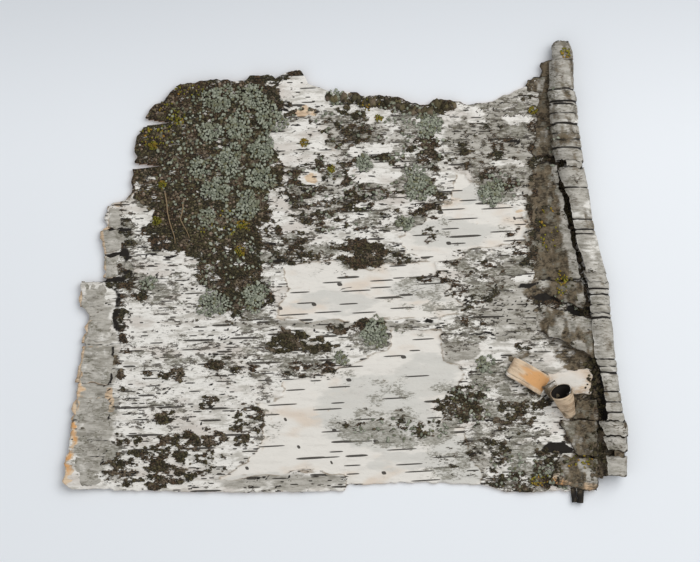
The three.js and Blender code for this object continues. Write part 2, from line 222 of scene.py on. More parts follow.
FILM_PATCHES = [
    (-6, 58, 48, 42, 0.66), (40.7, 84.5, 14, 12, 0.95), (38, 50, 16, 12, 0.95), (82, 43, 14, 9, 0.95),
    (84.7, 68, 36, 30, 0.68), (29.7, 26.5, 30, 10, 0.7), (-25, 14, 30, 14, 0.85), (75, -4, 16, 14, 0.95),
    (42, -9, 22, 8, 1.0), (24, -12, 14, 5, 0.9), (60, -20.4, 26, 4, 0.7), (84.7, -66, 24, 18, 0.85),
    (97, -98, 17, 15, 1.05), (80, -94, 22, 15, 0.75), (36, -32, 34, 4, 0.75), (66, -32, 16, 10, 0.95),
    (45, -12, 26, 10, 0.95), (58, -72, 16, 14, 1.0), (56, -104, 20, 14, 0.95), (-16, -52, 26, 9, 0.8),
    (12, -60, 26, 6, 0.75), (50, 40, 12, 26, 0.9), (-116, 6, 12, 28, 1.0), (90, 24, 9, 7, 0.9),
    (31, -72, 10, 6, 0.72), (-108, -12, 14, 10, 0.9), (24, 8, 18, 8, 0.7), (-91, -8, 34, 14, 0.75),
    (-135, -103, 18, 14, 0.7), (20, -85, 33, 11, 1.3), (44, -88, 20, 9, 1.25), (101, -114, 20, 8, 0.95),
    (-80, 60, 40, 50, 0.9), (88, 86, 20, 10, 0.85), (24, -68, 18, 7, 0.78), (94, 74, 14, 8, 0.8),
    (12, -36, 12, 9, 0.85), (-46, -32, 12, 32, 0.76), (-16, 8, 30, 10, 0.85), (-44, -84, 10, 12, 0.8),
    (58, -30, 6, 12, 0.9), (32, -46, 5, 3, 0.9), (104, 12, 10, 14, 0.8), (-96, -45, 30, 14, 0.55),
    (-60, -50, 22, 12, 0.6), (-110, -75, 26, 12, 0.5), (108, -30, 18, 14, 0.6), (92, -78, 16, 12, 0.95),
    (78, 4, 22, 12, 0.9),
]
WORN_PATCHES = [
    (96, -16, 26, 24, 0.75), (62, -43, 10, 6, 0.9), (-10, -28.5, 66, 2.4, 1.0),
    (-34, -114.6, 36, 5.5, 0.8), (88, 72, 34, 30, 0.82), (92, -56, 26, 12, 0.6), (-138, -60, 13, 56, 0.8),
    (110, 30, 14, 44, 0.9), (42, -9, 20, 7, 0.7), (-6, 62, 46, 30, 0.5), (58, 22, 24, 9, 0.9),
    (66, 43, 10, 7, 0.9), (62, -104, 16, 14, 0.9), (18, -76, 32, 22, 0.95), (44, -58, 20, 12, 0.9),
    (-6, -16, 24, 7, 0.75), (30, -104, 22, 6, 0.7),
]
CLEAN_PATCHES = [
    (12, 67, 12, 4.5, 1.0), (17, 54.5, 14, 6, 1.0), (-28, 75, 17, 9, 0.9), (-18, 98, 20, 9, 0.9),
    (60, 50, 9, 6, 1.0), (-38, 39, 6, 9, 0.8), (-111, 31, 7, 6, 0.9), (55.5, 57, 5, 3, 1.0),
    (3, 10, 10, 2, 0.6), (40, 40, 12, 3, 0.6), (-19, 51.5, 8, 4, 1.0), (-22, 88, 5, 2.4, 1.0),
    (-28, 64, 10, 5, 1.0), (-84, -12, 8, 6, 1.0), (70, 86, 9, 4, 0.8), (99, -2.5, 6, 2.6, 1.0),
    (-12, 66.5, 7, 3, 1.0), (-103, 4, 16, 6, 0.9), (28, 21, 9, 2.4, 0.9), (-8, 19, 13, 2.4, 0.8),
    (90, 60, 12, 2, 0.8), (-28, 24, 7, 2.6, 0.8), (93, 84, 10, 2.2, 0.8), (18, 38, 12, 2, 0.7),
    (98, -62, 9, 3, 0.7),
]


def face_fields(x, y):
    """Everything that the relief and the colours need to know about each place on the face."""
    peel = np.max([inside(outline, x, y) for outline in PEELED], axis=0) + 1.3 * rough(x, y, 7, 2.2, 3, 4)
    clean = patches(CLEAN_PATCHES, x, y) + 0.3 * rough(x, y, 5, 2, 7)
    spared = 0.3 * smooth(peel, -1, 1.5) + 0.85 * smooth(clean, 0.35, 0.7)
    field = 1.14 * smooth(inside(CRUST_FIELD, x, y), -3.5, 2.5)
    thick = np.maximum(patches(CRUST_PATCHES, x, y), field)
    crust = 1.3 * thick - 0.8 + 0.55 * rough(x, y, 5, 2.6, 11, 4)
    crust = crust + 0.42 * rough(x, y, 2.2, 1.5, 15, 2) - spared
    film = 1.25 * patches(FILM_PATCHES, x, y) - 0.85 + 0.55 * rough(x, y, 8, 4, 21, 4) - spared
    worn = patches(WORN_PATCHES, x, y) + 0.25 * rough(x, y, 14, 5, 31) - 0.8 * smooth(clean, 0.35, 0.7)
    return {"peel": peel, "crust": crust, "film": film, "worn": worn}


def ledges(x, y):
    """Paper layers end in low ledges. Gives which layer shows, and how near its edge a place is."""
    rise = 2.2 * rough(x, y, 46, 9, 33, 4)
    part = rise % 1.0
    near = np.exp(-(((part - 0.93) / 0.05) ** 2)) * smooth(lumps(x, y, 12, 9, 37), -0.2, 0.4)
    return np.floor(rise) + smooth(part, 0.9, 1.0), near


GROWTH = {"crust": CRUST_PATCHES, "film": FILM_PATCHES, "worn": WORN_PATCHES, "clean": CLEAN_PATCHES}
print("patches", {kind: len(ovals) for kind, ovals in GROWTH.items()})

# %% [markdown]
# ## Height of the face
# The sheet lies flat in the middle and lifts a little at its left and top margins. On top of that
# come the things a finger would feel: a step down of a few paper layers where the bark has peeled,
# with a lip that has started to curl, fine wrinkles that run with the lenticels, and the crumbs of
# the crust. One function gives the height for any place, so whatever grows on the bark can sit on it.
# %% Height of the ground side and of the face
PEEL_DEPTH = 0.6
LIP_HEIGHT = 0.5
STRIP_DEPTH = 0.7


def lift(x, y):
    left = 0.0016 * np.maximum(0, -104 - x) ** 2
    top = 0.0028 * np.maximum(0, y - 79) ** 2 * (1 - smooth(x, 40, 90))
    return left + top


def strip(x, y):
    """1 on the bare strip along the left margin, where the outer layers have broken off."""
    return smooth(-x + 1.6 * rough(x, y, 4, 5, 41), 124.5, 125.6) * smooth(-y, -30, -27)


def face_height(x, y, fields=None):
    f = fields or face_fields(x, y)
    lip = LIP_HEIGHT * np.exp(-(((f["peel"] + 0.9) / 0.9) ** 2))
    layer, _ = ledges(x, y)
    wrinkles = 0.25 * rough(x, y, 22, 5, 51) + 0.14 * rough(x, y, 9, 1.8, 61)
    wrinkles = wrinkles + 0.16 * layer * (f["peel"] < 0)
    crumbs = smooth(f["crust"], -0.05, 0.25) * (0.55 + 0.5 * rough(x, y, 2.6, 2.2, 71))
    scurf = smooth(f["film"], 0, 0.3) * (0.12 + 0.12 * rough(x, y, 1.8, 1.6, 81))
    steps = -PEEL_DEPTH * smooth(f["peel"], -0.4, 0.4) - STRIP_DEPTH * strip(x, y)
    return lift(x, y) + SHEET_THICKNESS + steps + lip + wrinkles + crumbs + scurf


print("height at the middle in mm", face_height(MIDDLE, MIDDLE).round(2))

# %% [markdown]
# ## Shells with two skins
# The sheet, the roll and every loose flake are thin shells. Each one starts as a flat grid, which is
# extruded into an upper and a lower skin joined all round the rim, and then every point is put in its
# place from its address. The lower skin needs far fewer faces than the one people look at, so most
# of its edges are dissolved. Every point also keeps its place on the paper, so that streaks bend
# round with the bark instead of being cut straight through it.
# %% Pieces and their stored numbers
PAPER = {"peel": -5, "crust": -1, "film": -1, "worn": 0, "tan": 0, "brown": 0, "crack": 0, "calm": 0,
         "top": 1}


def mesh_object(name, bm, slot, *nodes):
    """Finishes a bmesh as a piece that rides on the bark and stands for some of its nodes."""
    mesh = bpy.data.meshes.new(name)
    bm.to_mesh(mesh)
    bm.free()
    piece = bpy.data.objects.new(name, mesh)
    bpy.context.collection.objects.link(piece)
    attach(piece, "root")
    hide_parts(*nodes)
    return piece


def read(mesh, name):
    values = np.empty(len(mesh.vertices), np.float32)
    mesh.attributes[name].data.foreach_get("value", values)
    return values.astype(float)


def store(mesh, **fields):
    for name, values in fields.items():
        kept = mesh.attributes.get(name) or mesh.attributes.new(name, "FLOAT", "POINT")
        full = np.broadcast_to(np.asarray(values, np.float32), len(mesh.vertices))
        kept.data.foreach_set("value", np.ascontiguousarray(full))


def places(mesh):
    co = np.empty(3 * len(mesh.vertices), np.float32)
    mesh.vertices.foreach_get("co", co)
    return co.reshape(-1, 3).astype(float)


def put(mesh, x, y, z):
    """Places every point of a mesh, given in mm in the sheet's own measure."""
    co = np.stack(np.broadcast_arrays(x, y + SHIFT_Y, z), axis=1) * MM
    mesh.vertices.foreach_set("co", co.astype(np.float32).ravel())
    mesh.update()


def paper_at(mesh, x, y, z):
    kept = mesh.attributes.new("paper", "FLOAT_VECTOR", "POINT")
    flat = np.stack(np.broadcast_arrays(x, y, z), axis=1)
    kept.data.foreach_set("vector", flat.astype(np.float32).ravel())


print("numbers stored on every point of the bark", list(PAPER))

# %% Two-skinned shells
def two_skins(columns, rows, keep=None, coarse=1):
    """A grid with addresses u and v, extruded into a lower skin and an upper one, marked by `top`."""
    bm = bmesh.new()
    bmesh.ops.create_grid(bm, x_segments=columns, y_segments=rows, size=0.5)
    u, v, top = (bm.verts.layers.float.new(name) for name in ("u", "v", "top"))
    for vert in bm.verts:
        vert[u], vert[v] = vert.co.x + 0.5, vert.co.y + 0.5
    if keep:
        middle = Vector((0.5, 0.5))
        gone = [face for face in bm.faces if not keep(*(face.calc_center_median().xy + middle))]
        bmesh.ops.delete(bm, geom=gone, context="FACES")
    lower = set(bm.faces)
    made = bmesh.ops.extrude_face_region(bm, geom=list(bm.faces), use_keep_orig=True)
    for part in made["geom"]:
        if isinstance(part, bmesh.types.BMVert):
            part[top] = 1
    bmesh.ops.reverse_faces(bm, faces=list(lower))
    if coarse > 1:
        def between_lines(edge):
            a, b = edge.verts
            along = abs(a[v] - b[v]) < 1e-6
            line = round(a[v] * rows) if along else round(a[u] * columns)
            return line % coarse != 0
        inner = [e for e in bm.edges if all(f in lower for f in e.link_faces) and len(e.link_faces) == 2]
        bmesh.ops.dissolve_edges(bm, edges=[e for e in inner if between_lines(e)], use_verts=True)
    return bm


def shell(name, columns, rows, place, keep=None, coarse=2):
    """A two-skinned piece of bark. `place` turns addresses into x, y, z, paper x and y, and fields."""
    piece = mesh_object(name, two_skins(columns, rows, keep, coarse), "bark", "bark")
    mesh = piece.data
    u, v, top = (read(mesh, field) for field in ("u", "v", "top"))
    x, y, z, across, along, fields = place(u, v, top)
    put(mesh, x, y, z)
    paper_at(mesh, across, along, top * SHEET_THICKNESS)
    store(mesh, **({**PAPER, "top": top} | fields))
    for scratch in ("u", "v"):
        mesh.attributes.remove(mesh.attributes[scratch])
    mesh.shade_smooth()
    return piece


trial = two_skins(8, 8)
print("a grid of 8 by 8 faces becomes", len(trial.faces), "faces")
trial.free()

# %% [markdown]
# ## The sheet
# The grid is a little finer up the trunk than across it, because the detail is. Two slits run in from
# the left edge, where the sheet has split along a lenticel: the faces that lie in them are left out
# before the grid is extruded.
# %% The sheet itself
SHEET_COLUMNS, SHEET_ROWS = 264, 280
SLITS = [(-122, -101, 58.5, 2.2), (-115, -95.5, 82.4, 2.8)]  # x at mouth and tip, y, half the mouth
TAN_PATCHES = [
    (-152, -106.5, 2.2, 10, 1.1), (-148.4, -88, 1.6, 11, 1.1), (-128.5, -69, 2.6, 7, 1.0),
    (-131.5, 14, 1.0, 22, 0.7), (-146, -60, 1.6, 16, 1.0), (99, 26, 2.5, 5, 0.62),
    (95, 33.5, 4, 1.4, 0.6), (98, 17, 3, 1.2, 0.6), (-126, 36, 4, 2, 0.7), (-120, 50, 2, 10, 0.45),
    (-22, 88, 6, 3, 0.7), (-19, 51.5, 5, 2.4, 0.6), (-122.5, 38.5, 7, 1.6, 0.85),
    (-117, 46, 1.6, 6, 0.75), (-116.5, 66, 1.4, 7, 0.8),
]
BROWN_PATCHES = [
    (114, 28, 15, 36, 1.0), (116, 63, 9, 9, 0.9), (107, -10, 10, 9, 0.8), (113, 92, 5, 28, 0.85),
    (122, -36, 14, 12, 0.6), (130, -70, 9, 50, 0.9), (-125.5, -47.5, 4, 3, 0.8), (95, -48, 5, 7, 0.6),
    (-120, 22, 3, 20, 0.6), (-119, 60, 3, 30, 0.7), (100, 28, 3, 10, 0.7),
]
SHADE_PATCHES = [
    (115.5, -97, 8, 3, 1.5), (112.5, -68, 3.6, 4, 0.95), (136, -20, 7, 45, 0.72), (140, -74, 6, 22, 1.25),
    (111.5, 84, 2.2, 16, 0.85), (118, 65, 9, 3.5, 1.4), (123, 20, 3, 36, 0.8), (112, 34, 16, 2, 0.8),
    (-125.5, -24, 1.8, 18, 0.85), (114, -14, 12, 2.4, 1.5), (127, -21, 8, 3.4, 1.5),
    (101, -7.5, 9, 1.6, 1.1), (-127, 9.6, 7, 1.3, 1.5), (-127, -4.4, 7, 1.5, 1.5),
    (-126.5, 23.2, 6, 0.9, 1.3), (-121, 6, 1.6, 12, 0.75), (84, 52, 10, 0.7, 0.8), (8, 41, 16, 0.7, 0.75),
    (36, 36, 9, 0.7, 0.8), (-104, 9, 18, 0.7, 0.95), (-106, 13.5, 13, 0.6, 0.9), (-100, -3, 12, 0.6, 0.8),
    (78, -34, 22, 0.7, 0.9),
]


def scroll_foot(y):
    return follow(RIGHT_EDGE, y) - follow(SCROLL_RADIUS, y)


def sheet_plan(u, v):
    left = follow(LEFT_EDGE, mix(LEFT_EDGE[0][0], LEFT_EDGE[-1][0], v))
    right = scroll_foot(mix(RIGHT_EDGE[0][0], RIGHT_EDGE[-1][0], v))
    bottom = follow(BOTTOM_EDGE, mix(BOTTOM_EDGE[0][0], BOTTOM_EDGE[-1][0] - SCROLL_RADIUS[0][1], u))
    top = follow(TOP_EDGE, mix(TOP_EDGE[0][0], TOP_EDGE[-1][0], u))
    return mix(left, right, u), mix(bottom, top, v)


def in_a_slit(x, y, spare=0.0):
    """True in a slit, a thin wedge from the left edge, or within `spare` mm of one."""
    wedges = [(x < tip) & (abs(y - at) < spare + half * (tip - x) / (tip - mouth))
              for mouth, tip, at, half in SLITS]
    return np.any(wedges, axis=0)


def off_the_slits(u, v):
    return u > 0.12 or v < 0.7 or not in_a_slit(*sheet_plan(u, v))


def sheet_place(u, v, top):
    x, y = sheet_plan(u, v)
    rim = np.minimum(np.minimum(u, 1 - u), np.minimum(v, 1 - v))
    fray = smooth(-rim, -0.02, 0)
    x, y = x + fray * 0.7 * rough(y, x, 3, 9, 91) * (u < 0.5), y + fray * 0.6 * rough(x, y, 3, 9, 95)
    fields = face_fields(x, y)
    z = np.where(top > 0.5, face_height(x, y, fields), lift(x, y))
    wobble = 0.3 * rough(x, y, 5, 4, 45)
    fields |= {
        "tan": patches(TAN_PATCHES, x, y) + wobble - 0.35 * (1 - strip(x, y)) * (x < -100),
        "brown": patches(BROWN_PATCHES, x, y) + wobble,
        # dark cracks, painted shade in the shade ovals, the strip's dark edge, and a dark line along each
        # ledge that is partly painted shade under its step
        "crack": np.max([patches(SHADE_PATCHES, x, y) + 0.3 * rough(x, y, 3, 1.4, 97, 2),
                         strip_edge(x, y), 1.35 * ledges(x, y)[1] * (fields["peel"] < 0)], axis=0),
        "calm": 0.9 * strip(x, y),
    }
    return x, y, z, x, y, fields


STRIP_CUTS = [-5.5, -15, -24.8, -39.7, -61.8, -68.4, -92.2, -100.5]


def strip_edge(x, y):
    """The dark broken line where the outer layers stop, partly painted shade below the step, and the cuts
    across the bare strip.
    """
    s = strip(x, y)
    line = 3.2 * s * (1 - s) * smooth(rough(x, y, 3, 6, 47), -0.4, 0.3)
    cuts = [np.exp(-(((y - at - 0.7 * rough(x, y, 9, 9, 49)) / 0.45) ** 2)) for at in STRIP_CUTS]
    return np.maximum(line, s * np.max(cuts, axis=0) * smooth(lumps(x, y, 7, 20, 53), -0.5, 0.1))


sheet = shell("bark_sheet", SHEET_COLUMNS, SHEET_ROWS, sheet_place, keep=off_the_slits, coarse=3)
print("sheet triangles", sum(len(p.vertices) - 2 for p in sheet.data.polygons))

# %% [markdown]
# ## The roll at the right margin
# Along the right margin the sheet turns up and over to the left, a good half turn and more, and the
# turned part has cracked right through in several places. Each length is a shell bent round its own
# radius, from under the sheet to a free edge that is cut off unevenly. Old lenticels have opened into
# dark rings around the roll, and between them the bands stand a little higher or lower.
# %% The lengths of the roll
RINGS = [
    116.5, 99.6, 93, 91.2, 86.3, 80.6, 75.1, 71.8, 67.3, 45.8, 28.2, 22.6, 20.4, -9.9, -12.7, -18.5,
    -22.9, -25.4, -48, -51.9, -55.2, -65.7, -71.2, -76.7,
]
BAND_STEPS = [0.35, 0.1, 0.3, -0.1, 0.25, 0, 0.3, 0.1, 0.35, 0, 0.25, 0.1, 0.35, -0.05, 0.2]
ROLL_COLUMNS, ROLL_STEP, ROLL_WALL = 60, 0.4, 1.7
TUCK = 0.16  # how far the roll starts under the sheet, in radians
# Paper of the loose pieces is taken from so many mm aside, so that no pattern on the sheet repeats.
ROLL_PAPER, LAYER_PAPER, CURL_PAPER = 200, 300, 400


def ring_crack(y, turn):
    """How dark and deep the cracks around the roll are. Each one wanders, and fades in places."""
    found = np.zeros_like(y)
    for k, at in enumerate(RINGS):
        line = at + 0.3 * rough(turn * 7, np.full_like(y, k), 5, 1, 131 + k)
        strength = 1.25 + 0.35 * np.sin(k * 2.3) ** 2 + 0.35 * lumps(turn * 8, y, 5, 40, 151 + k)
        found = np.maximum(found, strength * np.exp(-(((y - line) / (0.36 + 0.16 * (k % 3))) ** 2)))
    return found


def make_roll(name, low, high, ends, tighten=0.0, brown=0.3):
    """One length of the roll. `ends` gives, against y, the bearing in degrees of its free edge."""
    rows = int((high - low) / ROLL_STEP) + 1
    steps = [BAND_STEPS[k % len(BAND_STEPS)] for k in range(len(RINGS))]

    def place(u, v, top):
        y = mix(low, high, v)
        end = np.radians(90 + follow(ends, y)) + 0.1 * rough(y, y, 4, 9, 161)
        bearing = -math.pi / 2 - TUCK + u * (end + TUCK)
        turn = u * end
        radius = follow(SCROLL_RADIUS, y) - tighten
        band = np.interp(y, sorted(RINGS), steps)
        dark = ring_crack(y, turn)
        out = 0.28 * rough(turn * 7, y, 6, 9, 171) + 0.12 * rough(turn * 7, y, 2.5, 1.2, 175)
        out = (out + 0.5 * band - 0.45 * dark) * smooth(u, 0.05, 0.2)
        end_fray = 0.9 * rough(turn * 7, y * 0, 3, 1, 181) * smooth(np.abs(v - 0.5), 0.47, 0.5)
        reach = np.where(top > 0.5, radius - ROLL_WALL, radius + out)
        x = scroll_foot(y) + reach * np.cos(bearing)
        z = follow(SCROLL_RADIUS, y) + reach * np.sin(bearing)
        y = y + end_fray
        fields = {
            "worn": 0.6 + 1.2 * band + 0.3 * rough(turn * 7, y, 7, 6, 185),
            "calm": 1,
            # dark ring cracks, and painted shade along the free edge where it lies against the sheet
            "crack": dark + 0.5 * smooth(u, 0.97, 1.0),
            "crust": -0.5 + 0.5 * rough(turn * 7, y, 6, 4, 189, 4),
            "brown": brown + 0.3 * rough(turn * 7, y, 4, 8, 191),
            "top": 1,
            "film": -0.15 + 0.5 * rough(turn * 7, y, 6, 6, 195, 4),
        }
        return x, y, z, ROLL_PAPER + turn * radius, y, fields

    return shell(name, ROLL_COLUMNS, rows, place, coarse=2)


roll_lengths = [
    make_roll("roll_top", 60.2, 126.5, [(60, 176), (72, 190), (98, 196), (126, 200)], brown=0.5),
    make_roll("roll_middle", -1.2, 56, [(0, 127), (15, 134), (40, 132), (48, 152), (54, 182)]),
    make_roll("roll_lower", -81.6, -6.4,
              [(-82, 120), (-60, 118), (-51, 132), (-46, 148), (-25, 142), (-8, 136)]),
    make_roll("roll_stub", 56.8, 60.6, [(56, 118), (61, 110)], tighten=1.0),
    make_roll("roll_bridge", -6.2, -0.4, [(-7, 120), (0, 150)], tighten=0.3),
    make_roll("roll_wedge_upper", -89.6, -82.4, [(-90, 122), (-82, 165)], tighten=-0.4),
    make_roll("roll_wedge_lower", -97.6, -90.6, [(-98, 112), (-90, 148)], tighten=0.2),
    make_roll("roll_foot", -111.2, -101.2, [(-112, 120), (-101, 128)], tighten=0.6),
    make_roll("roll_inside", -110, 60, [(-110, 88), (0, 80), (60, 95)], tighten=1.9, brown=0.9),
]
print("roll", len(roll_lengths), "lengths")

# %% [markdown]
# ## Layers that have turned up beside the roll
# Between the face and the roll lie older layers that have come loose, brown from the weather. They
# are shells as well, drawn as a four-sided plate whose surface rises toward the roll and whose edges
# are ragged. Thin flakes of the same kind lie along the left margin, with fresh tan at their rims.
# %% Turned-up layers
LAYER_THICKNESS, LOWEST = 1.2, 0.4


def make_layer(name, corners, heights, old, sag=0.0, relief=1.0, cell=0.8, seed=0, **extra):
    """A ragged plate. Corners run round from lower left, and each has its own height in mm."""
    (ax, ay), (bx, by), (cx, cy), (dx, dy) = corners
    za, zb, zc, zd = heights
    columns = max(8, int(abs(bx - ax) / cell))
    rows = max(8, int(abs(dy - ay) / cell))

    def place(u, v, top):
        x = mix(mix(ax, bx, u), mix(dx, cx, u), v)
        y = mix(mix(ay, by, u), mix(dy, cy, u), v)
        z = mix(mix(za, zb, u * u), mix(zd, zc, u * u), v)
        rim = np.minimum(np.minimum(u, 1 - u), np.minimum(v, 1 - v))
        edge = smooth(-rim, -0.12, 0)
        x, y = x + edge * 1.1 * rough(y, x, 3, 5, seed), y + edge * 0.9 * rough(x, y, 3, 5, seed + 3)
        bumps = 0.8 * rough(x, y, 3.4, 8, seed + 5) + 0.5 * rough(x, y, 1.8, 2.2, seed + 7)
        z = z + sag * np.sin(u * math.pi) + relief * bumps
        z = z - (1 - top) * LAYER_THICKNESS - edge * 0.4 * top
        fields = {
            "brown": old + 0.45 * rough(x, y, 4, 7, seed + 9),
            "worn": 0.8,
            "crust": -0.45 + 0.6 * rough(x, y, 4, 3, seed + 11),
            "film": -0.2 + 0.6 * rough(x, y, 4, 4, seed + 13),
            # painted shade in a dark rim along the lifted edge, and a few dark cracks across the plate
            "crack": 0.95 * smooth(-rim, -0.045, 0) + smooth(rough(x, y, 7, 1.6, seed + 15), 0.85, 1.2),
            "calm": 1,
        }
        fields |= {key: value(u, v, x, y) if callable(value) else value for key, value in extra.items()}
        return x, y, np.maximum(z, LOWEST), LAYER_PAPER + x, y, fields

    return shell(name, columns, rows, place, coarse=1)


def pale_right(u, v, x, y):
    return 1.0 - 0.7 * smooth(u, 0.62, 0.95) + 0.35 * rough(x, y, 3, 8, 211)


def tan_foot(u, v, x, y):
    return 1.05 * smooth(-v, -0.3, -0.12) + 0.5 * smooth(-u, -0.4, -0.1) * smooth(-v, -0.62, -0.4)


def pale_tan(u, v, x, y):
    return 0.34 + 0.25 * rough(x, y, 9, 4, 257)


CLEAN_PAPER = {"peel": 3, "worn": 0, "brown": -1, "crack": 0, "crust": -1, "film": -1}
layers = [
    make_layer("layer_band", [(103, -5), (128.6, -5), (114.5, 60), (101, 60)],
               [2.4, 9.4, 8, 2.4], 0.95, 0.8, seed=221, brown=pale_right),
    make_layer("layer_band_foot", [(104, -9.5), (131, -21.5), (130, -5.5), (104, -4)],
               [2.6, 7.4, 8, 2.4], 0.68, 1.5, seed=231),
    make_layer("layer_lump", [(103, -31), (137, -47.5), (135, -26), (104, -16.5)],
               [2.6, 9, 9, 2.6], 0.55, 3, seed=241),
    make_layer("layer_panel", [(110.5, -68.5), (134, -66), (134, -53), (110.5, -55.5)],
               [3.2, 4.6, 5, 3.2], -0.6, 0.5, 0.3, seed=251, tan=pale_tan, **CLEAN_PAPER),
    make_layer("layer_column_upper", [(124, -80.5), (137, -81), (137, -70), (125.5, -70)],
               [4.5, 8.4, 7.6, 4.5], 1.0, seed=261),
    make_layer("layer_column_middle", [(125.5, -100), (137, -100.6), (137, -81), (116, -81)],
               [4.6, 8, 8.4, 4], 0.85, seed=271),
    make_layer("layer_column_lower", [(111, -115), (137, -120), (137, -101.4), (117, -100.8)],
               [4.4, 5.5, 8, 4.6], 0.8, seed=281, tan=tan_foot),
    make_layer("layer_column_right", [(136, -111), (146, -111), (145, -87), (136, -87)],
               [5.2, 5.4, 6, 5.6], 0.95, seed=291),
    make_layer("layer_wedge_upper", [(138, -89), (152, -90), (151.6, -82), (142, -82)],
               [9, 12.4, 12.6, 11], 0.45, 0.8, seed=301),
    make_layer("layer_wedge_lower", [(143.5, -97.2), (152, -98.6), (152, -91), (141.4, -90)],
               [9, 10.6, 11, 10], 0.35, 0.8, seed=311),
    make_layer("layer_top_step", [(99, 100), (117, 98), (115, 108), (101, 107)],
               [2.6, 3, 5.4, 3.2], 0.85, 0.6, seed=321),
    make_layer("layer_top_tip", [(107.5, 106), (119, 104), (118.5, 117), (108, 115.5)],
               [4.2, 6, 6, 4.6], 1.0, 0.4, seed=331),
    make_layer("layer_top_side", [(102.5, 64), (114.5, 64), (114.5, 104), (106, 104)],
               [2.6, 5.8, 5.8, 2.8], 1.0, 1.0, 1.3, seed=337),
]
print("turned-up layers", len(layers))

# %% Flakes along the left margin
FLAKES = [  # corners, and how high the flake lies
    ([(-131, 24), (-121.5, 23.5), (-121, 35.5), (-131, 36)], 2.6),
    ([(-132, 10), (-121, 13), (-120, 23), (-134.5, 22.5)], 3.1),
    ([(-132.5, -3), (-121.5, -2.8), (-121, 9), (-132.8, 8.5)], 2.8),
    ([(-145.5, -19), (-130, -20), (-129.5, -6), (-145.5, -5.8)], 3),
    ([(-148, -61), (-128, -61.5), (-127, -41), (-144, -40.5)], 3.2),
    ([(-151, -91.5), (-130, -91.5), (-128, -69.5), (-148.5, -69)], 3.4),
    ([(-152.5, -116), (-134, -116.5), (-132, -101.5), (-152, -101.5)], 3.8),
    ([(-144, -38.5), (-128, -38.5), (-127, -26), (-141.5, -26)], 3),
]


def tan_rim(u, v, x, y):
    outer = smooth(-u, -0.16, -0.02)
    ends = 0.7 * smooth(-np.minimum(v, 1 - v), -0.08, 0) * smooth(rough(x, y, 9, 6, 353), -0.2, 0.5)
    return np.maximum(outer, ends) + 0.15 * rough(x, y, 4, 3, 351)


def dark_joint(u, v, x, y):
    """Shade at the foot of a flake and where it meets the sheet."""
    broken = smooth(rough(x, y, 4, 3, 359), -0.4, 0.3)
    return (0.9 * smooth(-v, -0.06, 0) + 1.2 * smooth(u, 0.86, 1)) * broken


FLAKE_PAPER = {
    "tan": tan_rim,
    "crust": lambda u, v, x, y: -0.8 + 0.5 * rough(x, y, 4, 3, 357),
    "worn": lambda u, v, x, y: 0.8 + 0.3 * rough(x, y, 3, 9, 355),
    "crack": dark_joint,
}
for k, (corners, height) in enumerate(FLAKES):
    heights = [height + 0.9, height - 0.4, height - 0.4, height + 0.7]
    layers.append(make_layer(f"layer_flake_{k + 1}", corners, heights, -0.25, 0.3, 0.4, seed=360 + 7 * k,
                             **FLAKE_PAPER))
print("flakes", len(FLAKES))

# %% [markdown]
# ## Curls
# Where a layer has let go only lately, its inner side is fresh, orange-tan and hardly weathered, and
# it curls because that side shrinks as it dries. Each curl is a thin shell bent round a radius that
# may narrow toward one end, which makes a cone.
# %% Curls
CURL_STEP, CURL_WALL = 0.9, 0.7


def make_curl(name, x, y, z, heading, radius, sweep, start, width, taper=0.0, pitch=0.0, tan=1.0,
              dark=0.0, hollow_shade=0.0, spiral=0.0, shade=0.0):
    """A shell bent round a line through x, y, z. Heading and pitch turn the line, in degrees, taper
    makes a cone, and spiral lets the free edge lie inside the first turn. The hollow setting paints
    shade on the inner side and at the inner end, and the shade setting paints shade all over."""
    turn, tip_up = math.radians(heading), math.radians(pitch)
    rows = max(8, int(width / CURL_STEP))

    def place(u, v, top):
        bearing = np.radians(start + u * sweep)
        size = radius * (1 + taper * (v - 0.5)) * (1 - spiral * u)
        size = size + 0.18 * rough(u * 20, v * width, 5, 3, 341)
        reach = size - CURL_WALL * (1 - top)
        edge = smooth(np.abs(u - 0.5), 0.44, 0.5)
        a = reach * np.cos(bearing)
        b = (v - 0.5) * width + edge * 0.8 * rough(v * width, u * 9, 2.5, 3, 345)
        c = reach * np.sin(bearing)
        level, c = (b * math.cos(tip_up) - c * math.sin(tip_up),
                    b * math.sin(tip_up) + c * math.cos(tip_up))
        px = x + a * math.cos(turn) - level * math.sin(turn)
        py = y + a * math.sin(turn) + level * math.cos(turn)
        long = bearing * radius
        fresh = 1.3 - 0.45 * smooth(np.abs(v - 0.55), 0.2, 0.5) - 0.4 * smooth(u, 0.45, 0.95)
        line = np.exp(-(((v - 0.15) / 0.03) ** 2)) * smooth(u, 0.3, 0.5) * (taper == 0) * (1 - dark)
        # painted shade on the inner side and at the inner end
        inside_shade = hollow_shade * np.maximum(1 - top, smooth(u, 0.93, 0.98))
        fields = {
            "tan": tan * (fresh + 0.12 * rough(long, b, 5, 2, 349)),
            "calm": 1,
            "brown": dark + 0.3 * rough(long, b, 4, 3, 353),
            "worn": 0.3,
            "crack": np.maximum(line, np.maximum(inside_shade, shade + 0.2 * rough(long, b, 3, 2, 357))),
            "top": 1,
        }
        return px, py, np.maximum(z + c, 0.3), CURL_PAPER + long, b, fields

    return shell(name, max(12, int(sweep / 6)), rows, place, coarse=1)


